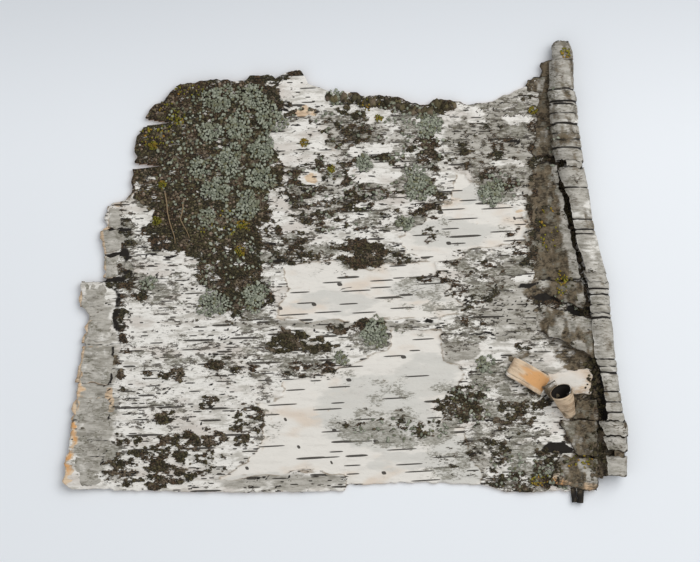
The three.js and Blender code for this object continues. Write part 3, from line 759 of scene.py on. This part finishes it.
curls = [
    make_curl("curl_panel", 98.5, -56.5, -9.3, -30, 17, 92, 35, 11.5),
    make_curl("curl_cone", 119.6, -71.8, 7.4, 24, 5.0, 405, 25, 17.5, taper=0.62, pitch=38, tan=0.7,
              dark=0.4, hollow_shade=1.2, spiral=0.15),
    make_curl("curl_hinge", 112.6, -65.2, 4.4, 28, 3.4, 215, -20, 9, taper=0.3, tan=0.3, dark=0.75,
              hollow_shade=1.2),
    make_curl("curl_foot_left", 124.3, -121.8, 1.9, 6, 1.45, 320, -100, 8, tan=0.0, dark=1.0,
              hollow_shade=1.2, shade=0.8),
    make_curl("curl_foot_right", 127.9, -122, 2.1, -2, 1.75, 320, -100, 8.4, tan=0.0, dark=1.0,
              hollow_shade=1.2, shade=0.8),
]
print("curls", len(curls))

# %% [markdown]
# ## Crust
# The dark crust is dead moss, old lichen and dust that have caked together into crumbs of one to two
# millimetres. The sheet's own relief and colour already carry its fine grain. The crumbs that stand
# proud are real: small low balls, pressed out of round and sunk nearly half way into the bark, with a
# tone of their own. Bigger lumps, like teeth, sit along the top edge.
# %% Scattered shapes
def template(make):
    """One shape of unit size, made once and copied to every spot."""
    bm = bmesh.new()
    make(bm)
    mesh = bpy.data.meshes.new("template")
    bm.to_mesh(mesh)
    bm.free()
    return mesh


BALL = template(lambda bm: bmesh.ops.create_icosphere(bm, subdivisions=1, radius=1))
BUTTON = template(lambda bm: bmesh.ops.create_uvsphere(bm, u_segments=9, v_segments=4, radius=1))


def surface_of(pieces):
    """Finds how high the topmost of several pieces lies at each place, by looking straight down."""
    corners, faces = [], []
    for piece in pieces:
        first = len(corners)
        corners += [vert.co / MM for vert in piece.data.vertices]
        faces += [[first + k for k in polygon.vertices] for polygon in piece.data.polygons]
    tree = BVHTree.FromPolygons(corners, faces)

    def height(x, y):
        down = Vector((0, 0, -1))
        found = [tree.ray_cast(Vector((a, b + SHIFT_Y, 60)), down)[0] for a, b in zip(x, y)]
        return np.array([SHEET_THICKNESS if hit is None else hit.z for hit in found])

    return height


bark_surface = surface_of([sheet, *roll_lengths, *layers])


def scatter(name, slot, nodes, spots, shape, noise=0.2, fine=1.0):
    """Sets one small shape at each spot, which is x, y, half length, width and height, bearing, rise
    and tone."""
    bm = bmesh.new()
    for _ in spots:
        bm.from_mesh(shape)
    piece = mesh_object(name, bm, slot, *nodes)
    mesh = piece.data
    a, b, c = places(mesh).T
    cx, cy, long, wide, tall, bearing, rise, tone = np.repeat(spots, len(shape.vertices), axis=0).T
    number = np.repeat(np.arange(len(spots)), len(shape.vertices))
    grow = 1 + noise * rough(a * long + number * 3.1, b * wide - number * 1.7, fine, fine, 401, 2)
    a, b = a * long * grow, b * wide * grow
    x = cx + a * np.cos(bearing) - b * np.sin(bearing)
    y = cy + a * np.sin(bearing) + b * np.cos(bearing)
    ground = np.repeat(bark_surface(spots[:, 0], spots[:, 1]), len(shape.vertices))
    put(mesh, x, y, ground + rise + c * tall)
    store(mesh, tone=tone, height=c)
    mesh.shade_smooth()
    return piece


print("points of a ball and a button", len(BALL.vertices), len(BUTTON.vertices))

# %% Crumbs of crust
chance = np.random.default_rng(7)
SLIT_SPARE = 0.7
CRUSTS = {  # middle x and y, half length, half height, how many crumbs, how pale they may be
    "crust_top_left": (-79, 63.5, 38, 44, 4200, 1.0), "crust_left": (-70, 0, 26, 26, 1500),
    "crust_top_edge": (19, 93, 42, 7, 900), "crust_middle": (-22, -38.5, 20, 9, 620),
    "crust_upper_middle": (2, 55, 60, 50, 2400), "crust_right": (72, -60, 22, 26, 700),
    "crust_lower_right": (100, -95, 20, 30, 800), "crust_lower_middle": (26, -84, 30, 10, 500),
    "crust_lower_left": (-90, -84, 44, 38, 2200),
}


def thrown(cx, cy, half_x, half_y, count, spread=1.0):
    """Places thrown evenly over an oval, and how far out each of them is."""
    r, a = np.sqrt(chance.random(count)) * spread, chance.random(count) * 2 * math.pi
    return cx + half_x * r * np.cos(a), cy + half_y * r * np.sin(a), r


def crumbs_in(cx, cy, half_x, half_y, count, paleness=0.6):
    """Spots for crumbs, thrown over an oval and kept only where the crust is thick enough."""
    x, y, _ = thrown(cx, cy, half_x, half_y, count * 3, 1.15)
    x, y = keep_on_sheet(x, y)
    crust = face_fields(x, y)["crust"]
    thick = crust > 0.1 + 0.15 * chance.random(len(x))
    x, y = x[thick][:count], y[thick][:count]
    n = len(x)
    long = 0.3 + 0.6 * chance.random(n) ** 2
    tall = long * (0.55 + 0.35 * chance.random(n))
    return np.stack([x, y, long * 1.25, long, tall, chance.normal(0, 0.5, n), 0.12 * long,
                     paleness * chance.random(n)], axis=1)


def keep_on_sheet(x, y):
    fits = (x > follow(LEFT_EDGE, y) + 0.9) & (y < follow(TOP_EDGE, x) - 0.8)
    fits &= (y > follow(BOTTOM_EDGE, x) + 1) & ~in_a_slit(x, y, SLIT_SPARE)
    return x[fits], y[fits]


crusts = [
    scatter(name, "crust", [name], crumbs_in(*where), BALL, noise=0.35, fine=0.9)
    for name, where in CRUSTS.items()
]
print("crust patches", len(crusts))

# %% Crumbs in the crevice beside the roll, and teeth along the top edge
CREVICE = [(-112, 138), (-50, 137), (0, 129), (40, 121), (66, 119)]
CREVICE_CRUMBS, CREVICE_TOP = 1500, 7
TEETH, TEETH_REACH = 58, (-10, 62)
along = chance.uniform(CREVICE[0][0], CREVICE[-1][0], CREVICE_CRUMBS)
size = 0.4 + 0.7 * chance.random(CREVICE_CRUMBS) ** 2
across = follow(CREVICE, along) + chance.normal(0, 2.4, CREVICE_CRUMBS)
crevice = np.stack([across, along, size * 1.3, size, size * 0.7, 6 * chance.random(CREVICE_CRUMBS),
                    0.1 * size, 0.7 * chance.random(CREVICE_CRUMBS)], axis=1)
# only down in the gap, never on the roll
crevice = crevice[bark_surface(crevice[:, 0], crevice[:, 1]) < CREVICE_TOP]
crusts.append(scatter("crust_crevice", "crust", [], crevice, BALL, noise=0.35, fine=0.9))
tooth_x = chance.uniform(*TEETH_REACH, TEETH)
half = 0.8 + 1.3 * chance.random(TEETH) ** 1.5
tooth_y = follow(TOP_EDGE, tooth_x) - 0.6 - half - 2.5 * chance.random(TEETH) ** 2
teeth = np.stack([tooth_x, tooth_y, half, half * (1 + 0.7 * chance.random(TEETH)), half * 0.8,
                  chance.normal(0, 0.3, TEETH), 0.2 * half, 0.9 * chance.random(TEETH)], axis=1)
crusts.append(scatter("crust_teeth", "crust", [], teeth, BALL, noise=0.5, fine=1.2))
print("crumbs", sum(len(piece.data.vertices) // len(BALL.vertices) for piece in crusts))

# %% [markdown]
# ## Lichen
# A leafy lichen grows outward from a middle, so a rosette is rings of small lobes that overlap like
# roof tiles, each one longer along the radius than across it. The rings get smaller toward the
# middle and lie higher, and here and there a lobe is missing. Every lobe is a low button.
# %% Lichen rosettes
ROSETTES = [
    (-70, 95.5, 8), (-52, 96.5, 8), (-59, 80, 8), (-41, 85, 8), (-75, 77, 6.5), (-46, 68.5, 7.5),
    (-64, 62, 8), (-47, 52, 7.5), (-80, 58, 6), (-71, 45.5, 7.5), (-54, 36.5, 7.5), (-76, 30, 5.5),
    (-73, -17.5, 8), (-50, -13.5, 7.5), (-108, -6, 4.5), (16, -33, 8), (-3, -47.5, 4), (46, 81, 7),
    (40, 48, 9), (80, 43.5, 7), (-5, 96.5, 5), (10, 60, 5), (76, -50, 5), (32, 27, 5),
]
LOBE_STEP, RING_STEP, MISSING_LOBES = 1.15, 1.05, 0.14


def rosette_spots(cx, cy, radius, over=0.0):
    """Rings of lobes from the rim inward. Waves around the rosette keep it from being a circle."""
    spots = []
    ring = radius - 0.8
    while ring > 0.4:
        count = max(3, int(2 * math.pi * ring / LOBE_STEP))
        for k in range(count):
            if chance.random() < MISSING_LOBES:
                continue
            bearing = 2 * math.pi * (k + chance.random() * 0.7) / count
            uneven = 1 + 0.15 * math.sin(2 * bearing + cy) + 0.15 * math.sin(3 * bearing + cx)
            uneven = uneven + 0.1 * math.sin(7 * bearing + cy)
            away = ring * uneven + chance.normal(0, 0.3)
            size = 0.58 + 0.32 * chance.random()
            rise = 0.25 + over + 0.45 * (1 - ring / radius) + 0.25 * chance.random()
            spots.append((cx + away * math.cos(bearing), cy + away * math.sin(bearing), size * 1.15,
                          size * 0.9, size * 0.45, bearing + chance.normal(0, 0.6), rise,
                          chance.random()))
        ring -= RING_STEP
    return np.array(spots)


RAISED_ROSETTES = 13  # so many at the start of the list lie a little higher than the rest
rosettes = []
for k, (x, y, radius) in enumerate(ROSETTES):
    name = f"lichen_{k + 1:02d}"
    spots = rosette_spots(x, y, radius, 0.5 if k < RAISED_ROSETTES else 0.1)
    rosettes.append(scatter(name, "lichen", [name], spots, BUTTON, 0.3, 1.1))
lobes = sum(len(piece.data.vertices) // len(BUTTON.vertices) for piece in rosettes)
print("rosettes", len(rosettes), "lobes", lobes)

# %% Young lichen between the rosettes
YOUNG_LICHEN = [
    (-72, 62, 34, 40, 420), (-62, 0, 22, 24, 120), (35, 88, 22, 8, 70), (38, 72, 16, 16, 60),
    (-20, 80, 16, 12, 30), (84, 47, 12, 8, 50), (20, -34, 14, 8, 36), (68, -72, 12, 14, 60),
    (86, -50, 16, 6, 24), (30, -86, 26, 7, 60), (20, 52, 26, 12, 50), (92, -108, 22, 10, 60),
    (-92, -20, 12, 6, 24), (126, -90, 10, 18, 50), (122, -10, 8, 14, 24), (114, 80, 6, 24, 24),
    (118, -112, 18, 7, 50), (-6, 58, 46, 36, 160),
]


def young_spots():
    spots = []
    for oval in YOUNG_LICHEN:
        x, y = keep_on_sheet(*thrown(*oval)[:2])
        grown = face_fields(x, y)
        settled = np.maximum(grown["crust"], grown["film"]) > -0.05
        x, y = x[settled], y[settled]
        n = len(x)
        size = 0.5 + 0.5 * chance.random(n)
        spots.append(np.stack([x, y, size * 1.2, size * 0.85, size * 0.4, chance.random(n) * 6.3,
                               0.25 + 0.5 * chance.random(n), chance.random(n)], axis=1))
    return np.concatenate(spots)


young = scatter("lichen_young", "lichen", [], young_spots(), BUTTON, 0.3, 1.0)
print("young lobes", len(young.data.vertices) // len(BUTTON.vertices))

# %% [markdown]
# ## Moss and dead stems
# A few olive cushions of moss are left in the crust, and two dry stems lie across it. A moss cushion
# is a heap of short leaves, each a ball drawn out long and slim. A stem is a thin rod that follows a
# few bends.
# %% Moss cushions
MOSSES = [
    (-106, 69.5, 2.6), (-92, 83, 2.6), (-101, 48, 2.2), (-104, 28, 2.6), (-57, 26, 3), (-58, 11.5, 3),
    (-23, 71.5, 2.4), (-8, 57, 2.2), (18, 85, 2.2), (103, 89.5, 2.4),
]


def moss_spots(cx, cy, radius):
    n = int(26 * radius)
    r, a = np.sqrt(chance.random(n)) * radius, chance.random(n) * 2 * math.pi
    size = 0.28 + 0.22 * chance.random(n)
    dome = 1.3 * (1 - (r / radius) ** 2)
    x, y = cx + r * np.cos(a), cy + r * np.sin(a)
    return np.stack([x, y, size * 1.5, size * 0.7, size * 1.1, a + chance.normal(0, 0.7, n),
                     0.2 + dome * chance.random(n), chance.random(n)], axis=1)


mosses = []
for k, (x, y, radius) in enumerate(MOSSES):
    name = f"moss_{k + 1:02d}"
    mosses.append(scatter(name, "moss", [name], moss_spots(x, y, radius), BALL, 0.4, 0.5))

MOSS_SCRAPS = [
    (-104, 76, 10, 8, 50), (-96, 88, 8, 5, 26), (-85, 100, 10, 3, 22), (118, -6, 3.5, 7, 40),
    (120.5, 120, 3, 3, 26), (111, 24, 5, 14, 26), (128, -104, 8, 4, 26), (106, -113, 8, 4, 30),
    (-66, 26, 16, 8, 26), (12, 92, 8, 3, 16),
]
scraps = []
for oval in MOSS_SCRAPS:
    x, y, r = thrown(*oval)
    size = 0.35 + 0.3 * chance.random(len(x))
    scrap = np.stack([x, y, size * 1.4, size, size * 0.6, 6.3 * r, 0.3 + 0.3 * chance.random(len(x)),
                      chance.random(len(x))], axis=1)
    scraps.append(scrap[~in_a_slit(x, y, SLIT_SPARE)])
mosses.append(scatter("moss_scraps", "moss", [], np.concatenate(scraps), BALL, 0.4, 0.5))
print("moss pieces", len(mosses))

# %% Dead stems
STEMS = [
    [(-99.5, 43.5, 0.2), (-98, 33, 1.2), (-94.5, 21, 0.8), (-94, 15.5, 0.2)],
    [(-89.5, 37.5, 0.4), (-90.5, 29, 1.4), (-86, 18.5, 0.2)],
]
STEM_RADIUS, STEM_RINGS = 0.42, 16


def make_stem(name, points):
    """A rod drawn out ring by ring from a circle, along the stem's bends."""
    bm = bmesh.new()
    at = np.linspace(0, 1, STEM_RINGS)
    x, y, rise = [np.interp(at, np.linspace(0, 1, len(points)), axis) for axis in zip(*points)]
    x = x + 0.35 * np.sin(at * 9)
    z = face_height(x, y) + rise + 0.3
    rings = []
    for k, spot in enumerate(zip(x, y, z)):
        thin = STEM_RADIUS * (1 - 0.5 * at[k])
        turn = Matrix.Translation(spot) @ Matrix.Rotation(math.pi / 2, 4, "X")
        capped = k in (0, STEM_RINGS - 1)
        made = bmesh.ops.create_circle(bm, cap_ends=capped, segments=7, radius=thin, matrix=turn)
        rings.append(made["verts"])
    for pair in zip(rings, rings[1:]):
        edges = [e for e in bm.edges if any(all(v in ring for v in e.verts) for ring in pair)]
        bmesh.ops.bridge_loops(bm, edges=edges)
    bmesh.ops.recalc_face_normals(bm, faces=list(bm.faces))
    piece = mesh_object(name, bm, "stem", name)
    put(piece.data, *places(piece.data).T)
    piece.data.shade_smooth()
    return piece


stems = [make_stem(f"dead_stem_{k + 1:02d}", points) for k, points in enumerate(STEMS)]
print("stems", len(stems))

# %% [markdown]
# ## How a finish is written
# A finish is a chain of small decisions: where is this layer, what colour is it, how does that colour
# vary. A few helpers keep each decision on one line. Distances in the patterns are in mm on the
# paper, so lenticels and streaks have the size that they have on the tree.
# %% Colours, and numbers on their way
def srgb(r, g, b):
    """A colour measured on a screen, 0 to 255, as the renderer counts light."""
    return tuple(((c / 255 + 0.055) / 1.055) ** 2.4 if c > 10 else c / 3294.6 for c in (r, g, b)) + (1.0,)


class Value:
    """A number on its way through a finish. Each sum or product made with it adds one node."""

    def __init__(self, finish, socket):
        self.finish, self.socket = finish, socket

    def __add__(self, other):
        return self.finish.maths("ADD", self, other)

    def __sub__(self, other):
        return self.finish.maths("SUBTRACT", self, other)

    def __rsub__(self, other):
        return self.finish.maths("SUBTRACT", other, self)

    def __mul__(self, other):
        return self.finish.maths("MULTIPLY", self, other)

    def __neg__(self):
        return self * -1.0

    def __or__(self, other):
        """Whichever of the two is larger."""
        return self.finish.maths("MAXIMUM", self, other)


print("a middle grey as light", [round(c, 3) for c in srgb(128, 128, 128)])


# %% Helpers for finishes
class Finish:
    """A material written as a list of layers, from the bottom one up."""

    def __init__(self, name, roughness):
        self.material = bpy.data.materials.new(name)
        self.material.use_nodes = True
        self.tree = self.material.node_tree
        self.shader = self.tree.nodes["Principled BSDF"]
        self.shader.inputs["Roughness"].default_value = roughness
        self.shader.inputs["Specular IOR Level"].default_value = 0.25

    def node(self, kind, **settings):
        made = self.tree.nodes.new("ShaderNode" + kind)
        for key, value in settings.items():
            setattr(made, key, value)
        return made

    def feed(self, socket, value):
        if isinstance(value, Value):
            self.tree.links.new(value.socket, socket)
        else:
            socket.default_value = value

    def value(self, made, output=0):
        return Value(self, made.outputs[output])

    def maths(self, operation, a, b=0.0, clamp=False):
        made = self.node("Math", operation=operation, use_clamp=clamp)
        self.feed(made.inputs[0], a)
        self.feed(made.inputs[1], b)
        return self.value(made)

    def stored(self, name, output="Fac"):
        return self.value(self.node("Attribute", attribute_name=name), output)

    def placed(self, where, long, tall, deep=1.0, seed=0, tilt=0.0):
        made = self.node("Mapping")
        self.feed(made.inputs["Vector"], where)
        made.inputs["Scale"].default_value = (1 / long, 1 / tall, 1 / deep)
        made.inputs["Location"].default_value = (seed * 3.7, seed * 1.3, seed * 2.1)
        made.inputs["Rotation"].default_value = (0, 0, math.radians(tilt))
        return self.value(made)

    def noise(self, where, long, tall, seed=0, detail=3.0, roughness=0.55, deep=1.0):
        made = self.node("TexNoise")
        self.feed(made.inputs["Vector"], self.placed(where, long, tall, deep, seed))
        made.inputs["Scale"].default_value = 1.0
        made.inputs["Detail"].default_value = detail
        made.inputs["Roughness"].default_value = roughness
        return self.value(made)

    def step(self, value, low, high):
        """0 below low, 1 above high."""
        made = self.node("MapRange", interpolation_type="SMOOTHSTEP")
        self.feed(made.inputs["Value"], value)
        made.inputs["From Min"].default_value = low
        made.inputs["From Max"].default_value = high
        return self.value(made)

    def split(self, kind, value):
        """The three numbers that a place or a colour is made of."""
        made = self.node(kind)
        self.feed(made.inputs[0], value)
        return [self.value(made, k) for k in range(3)]

    def layer(self, under, over, where):
        made = self.node("MixRGB")
        self.feed(made.inputs[0], where)
        self.feed(made.inputs[1], under)
        self.feed(made.inputs[2], over)
        return self.value(made)

    def dashes(self, where, long, tall, length, height, seed, tilt, share):
        """Separate dashes, one to a cell of long by tall mm, and only in some of the cells."""
        made = self.node("TexVoronoi", voronoi_dimensions="2D")
        self.feed(made.inputs["Vector"], self.placed(where, long, tall, 1.0, seed, tilt))
        made.inputs["Scale"].default_value = 1.0
        made.inputs["Randomness"].default_value = 0.9
        at = self.node("VectorMath", operation="SUBTRACT")
        self.feed(at.inputs[0], self.placed(where, long, tall, 1.0, seed, tilt))
        self.feed(at.inputs[1], self.value(made, "Position"))
        x, y = self.split("SeparateXYZ", self.value(at))[:2]
        size, luck = self.split("SeparateColor", self.value(made, "Color"))[:2]
        reach = size * (0.7 * length / long) + 0.3 * length / long
        x = self.maths("ABSOLUTE", self.maths("DIVIDE", x, reach) * 2.0)
        y = self.maths("ABSOLUTE", y * (2 * tall / height))
        within = 1.5 - (self.maths("POWER", x, 4.0) + self.maths("POWER", y, 2.0))
        return self.step(within, 0.4, 0.8) * self.maths("LESS_THAN", luck, share)

    def done(self, colour, height=None, depth=0.0003):
        self.feed(self.shader.inputs["Base Color"], colour)
        if height is not None:
            bump = self.node("Bump")
            bump.inputs["Strength"].default_value = 0.8
            bump.inputs["Distance"].default_value = depth
            self.feed(bump.inputs["Height"], height)
            self.feed(self.shader.inputs["Normal"], self.value(bump))

    def on(self, *pieces):
        for piece in pieces:
            piece.data.materials.clear()
            piece.data.materials.append(self.material)


print("steps of a finish", [step for step in vars(Finish) if not step.startswith("_")])


# %% [markdown]
# ## Birch paper
# The finish follows the tree's own order. At the bottom is white paper, dusty and streaked. Grey
# worn paper lies over it in places, then the cream of a fresh peel with a dark rim where the gone
# layer ends, partly its torn edge and partly painted shade, tan inner layers, and brown weathered
# ones. On top come the lenticels, then what grows: a thin grey-green film and the dark crust, and
# last dark cracks with painted shade in crevices, hollows and under loose edges. The stored numbers
# say roughly where, and fine noise gives each border its crumbs.
# %% Birch paper
def birch_paper():
    f = Finish("birch_paper", 0.82)
    at = f.stored("paper", "Vector")
    streak = f.noise(at, 8, 2.2, 1, 5, 0.62)
    fine = f.noise(at, 1.8, 0.7, 2, 4, 0.65)
    dust = f.noise(at, 0.9, 0.6, 3, 3, 0.7)
    broad = f.noise(at, 24, 12, 4, 2)
    clouds = f.noise(at, 30, 11, 15, 4, 0.6)
    # white paper, dusty and streaked, and grey paper where it has worn
    white = f.layer(srgb(234, 230, 222), srgb(190, 185, 175), f.step(streak, 0.46, 0.64))
    white = f.layer(white, srgb(172, 168, 158), f.step(fine, 0.54, 0.7) * 0.6)
    white = f.layer(white, srgb(204, 195, 185), f.step(clouds, 0.5, 0.66) * 0.75)
    grey = f.layer(srgb(186, 181, 171), srgb(148, 143, 132), f.step(streak, 0.4, 0.66))
    grey = f.layer(grey, srgb(122, 117, 105), f.step(fine, 0.52, 0.7) * 0.5)
    worn = f.step(f.stored("worn") + streak * 0.9, 0.75, 1.15)
    colour = f.layer(white, grey, worn)
    # cream paper just uncovered, with a dark rim where the gone layer ends, partly its torn edge and
    # partly painted shade
    cream = f.layer(srgb(228, 223, 214), srgb(220, 206, 190), f.step(broad, 0.5, 0.72))
    cream = f.layer(cream, srgb(209, 206, 198), worn * 0.9)
    cream = f.layer(cream, srgb(205, 199, 190), f.step(streak, 0.5, 0.75) * 0.5)
    peel = f.stored("peel")
    peeled = f.step(peel + fine * 1.2, 0.5, 0.8)
    colour = f.layer(colour, cream, peeled)
    rim = f.step(peel, -0.9, -0.2) * f.step(-peel, -0.7, -0.1) * f.step(streak, 0.38, 0.58)
    colour = f.layer(colour, srgb(150, 134, 114), rim * 0.75)
    # tan inner layers, orange where they are fresh, and brown weathered ones
    tan = f.layer(srgb(220, 196, 166), srgb(188, 162, 134), f.step(streak, 0.42, 0.62))
    tan = f.layer(tan, srgb(214, 162, 108), f.step(f.stored("tan"), 0.95, 1.25))
    colour = f.layer(colour, tan, f.step(f.stored("tan") + fine * 0.5, 0.55, 0.9))
    clumps = f.noise(at, 3.2, 3.2, 12, 5, 0.65)
    brown = f.layer(srgb(108, 95, 76), srgb(60, 52, 40), f.step(clumps, 0.42, 0.6))
    brown = f.layer(brown, srgb(148, 136, 114), f.step(fine, 0.5, 0.68) * 0.6)
    colour = f.layer(colour, brown, f.step(f.stored("brown") + fine * 0.8, 0.75, 1.15))
    # lenticels: crowded short dashes on old paper, long thin ones with knots on fresh paper
    short = f.dashes(at, 13, 3.8, 11, 0.7, 5, -6, 0.4) | f.dashes(at, 26, 7.5, 21, 1.15, 9, -6, 0.42)
    tiny = f.dashes(at, 5, 2.6, 3.6, 0.7, 6, -2.5, 0.22)
    long = f.dashes(at, 22, 5.8, 19, 0.74, 7, -12, 0.7) | f.dashes(at, 34, 9.5, 22, 1.25, 12, -12, 0.4)
    long = long | f.dashes(at, 17, 8.5, 3.2, 1.9, 13, -12, 0.26)
    lively = 1.0 - f.stored("calm")
    marks = ((short | tiny) * (1.0 - peeled) | long * peeled) * lively
    # flecks: ragged dark scraps left on the white
    often = f.maths("ADD", f.stored("film"), 0.9, clamp=True) * 0.13
    fleck = f.step(f.noise(at, 4.2, 1.9, 8, 6, 0.7) + often, 0.62, 0.67)
    fleck = fleck * (1.0 - peeled * 0.9) * (lively * 0.7 + 0.3)
    dark = f.layer(srgb(48, 41, 32), srgb(92, 80, 64), f.step(dust, 0.45, 0.65))
    colour = f.layer(colour, dark, fleck * 0.85)
    colour = f.layer(colour, srgb(46, 40, 33), marks * 0.92)
    # what grows on it, and last dark cracks with painted shade in crevices, hollows and under loose edges
    ragged = fine - 0.5
    film = f.layer(srgb(158, 155, 143), srgb(106, 101, 86), f.step(fine, 0.42, 0.6))
    colour = f.layer(colour, film, f.step(f.stored("film") + ragged * 2.6, 0.0, 0.4) * 0.75)
    tints = f.noise(at, 9, 7, 14, 3)
    crust = f.layer(srgb(90, 70, 50), srgb(72, 67, 44), f.step(tints, 0.46, 0.58))
    crust = f.layer(crust, srgb(30, 27, 20), f.step(dust, 0.4, 0.54))
    crust = f.layer(crust, srgb(128, 117, 101), f.step(fine, 0.58, 0.68) * 0.6)
    colour = f.layer(colour, crust, f.step(f.stored("crust") + ragged * 2.4, 0.0, 0.22))
    colour = f.layer(colour, srgb(34, 30, 26), f.step(f.stored("crack"), 0.45, 0.95))
    # the inner side, which lay against the wood
    inner = f.layer(srgb(192, 154, 118), srgb(164, 124, 90), f.step(streak, 0.4, 0.62))
    inner = f.layer(inner, srgb(150, 106, 74), f.step(broad, 0.48, 0.66) * 0.7)
    inner = f.layer(inner, srgb(112, 82, 58), (short | long) * 0.8)
    colour = f.layer(inner, colour, f.step(f.stored("top"), 0.3, 0.7))
    f.done(colour, fine * 0.7 + dust * 0.5 - marks * 0.8, 0.0004)
    return f


paper_finish = birch_paper()
paper_finish.on(sheet, *roll_lengths, *layers, *curls)
print("birch paper", len(paper_finish.tree.nodes), "nodes")

# %% Crust, lichen, moss and stem finishes
def in_mm(f):
    made = f.node("VectorMath", operation="SCALE")
    f.feed(made.inputs[0], f.value(f.node("TexCoord"), "Object"))
    made.inputs["Scale"].default_value = 1 / MM
    return f.value(made)


def grown_finish(name, pale, middle, deep, odd, roughness, size, odd_share):
    """Colours for small grown shapes: pale or middle by their tone, painted shade darkening their feet,
    and a few odd ones.
    """
    f = Finish(name, roughness)
    at = in_mm(f)
    tone = f.stored("tone")
    speckle = f.noise(at, size, size, 11, 3, 0.6, size)
    colour = f.layer(middle, pale, f.step(tone + speckle * 0.8, 0.5, 1.2))
    colour = f.layer(colour, odd, f.step(tone, 1 - odd_share, 1 - odd_share + 0.04) * 0.85)
    drift = f.noise(at, 9, 7, 14, 3, 0.6, 9)
    colour = f.layer(colour, odd, f.step(drift, 0.5, 0.62) * 0.42)
    # painted shade: the lower part of each shape darkens toward the deep colour
    colour = f.layer(colour, deep, f.step(-f.stored("height"), -0.35, 0.15) * 0.85)
    f.done(colour, speckle, 0.00025)
    return f


GROWN = [  # pieces, pale ones, middle, painted shade at their feet, odd ones, how rough, grain in mm, share of odd ones
    ("crust", crusts, (98, 90, 64), (52, 47, 33), (24, 21, 15), (142, 124, 108), 0.95, 0.6, 0.12),
    ("lichen", [*rosettes, young], (156, 159, 142), (112, 116, 99), (34, 33, 24), (98, 95, 64), 0.92,
     0.8, 0.1),
    ("moss", mosses, (138, 130, 44), (96, 92, 30), (40, 38, 18), (160, 120, 50), 0.9, 0.5, 0.12),
    ("stem", stems, (196, 176, 146), (170, 148, 116), (120, 100, 74), (196, 176, 146), 0.8, 0.6, 0.1),
]
for name, pieces, tops, middle, feet, odd, roughness, grain, share in GROWN:
    colours = [srgb(*colour) for colour in (tops, middle, feet, odd)]
    grown_finish(name, *colours, roughness, grain, share).on(*pieces)
print("finishes", [material.name for material in bpy.data.materials])

# %% [markdown]
# ## Floor, light and camera
# Relief this low only shows when light comes across it. So a strong light stands to one side, like a
# window, and a larger, weaker one opposite keeps the shadows from going black. The floor is pale, with
# painted shade that darkens it toward the back. The camera looks down almost straight, through a long
# lens, so that the near and the far end of the sheet come out at nearly the same size.
# %% Floor, light and camera
CAMERA_DISTANCE = 1.3
CAMERA_ELEVATION = math.radians(86.5)
CAMERA_LENS = 121.7
LOOK_AT = Vector((0.0022, -0.0044, 0.0))
FLOOR_SIZE = 2.0
SKY_COLOUR, SKY_STRENGTH = (0.93, 0.96, 1.0, 1), 0.45


def make_floor():
    bm = bmesh.new()
    bmesh.ops.create_grid(bm, x_segments=1, y_segments=1, size=FLOOR_SIZE)
    mesh = bpy.data.meshes.new("floor")
    bm.to_mesh(mesh)
    bm.free()
    floor = bpy.data.objects.new("floor", mesh)
    bpy.context.collection.objects.link(floor)
    paint = Finish("pale_floor", 0.9)
    back = paint.split("SeparateXYZ", paint.value(paint.node("TexCoord"), "Object"))[1]
    # painted shade: the floor darkens toward the back
    paint.done(paint.layer(srgb(235, 238, 241), srgb(196, 199, 203), paint.step(back, 0.05, 0.25)))
    paint.on(floor)


def add_light(name, power, size, place):
    data = bpy.data.lights.new(name, "AREA")
    data.energy, data.size = power, size
    light = bpy.data.objects.new(name, data)
    light.location = place
    light.rotation_euler = (-Vector(place)).to_track_quat("-Z", "Y").to_euler()
    bpy.context.collection.objects.link(light)


def add_camera():
    data = bpy.data.cameras.new("camera")
    data.lens = CAMERA_LENS
    camera = bpy.data.objects.new("camera", data)
    tilt = math.pi / 2 - CAMERA_ELEVATION
    camera.rotation_euler = (tilt, 0, 0)
    camera.location = LOOK_AT + CAMERA_DISTANCE * Vector((0, -math.sin(tilt), math.cos(tilt)))
    bpy.context.collection.objects.link(camera)
    bpy.context.scene.camera = camera


make_floor()
add_light("window", 14, 1.2, (0.7, 0.5, 1.2))
add_light("fill", 5, 2.0, (-0.6, -0.6, 1.5))
add_camera()
world = bpy.data.worlds.new("room")
world.use_nodes = True
world.node_tree.nodes["Background"].inputs["Color"].default_value = SKY_COLOUR
world.node_tree.nodes["Background"].inputs["Strength"].default_value = SKY_STRENGTH
bpy.context.scene.world = world
bpy.context.scene.view_settings.view_transform = "Standard"
print("camera at", [round(c, 3) for c in bpy.context.scene.camera.location])
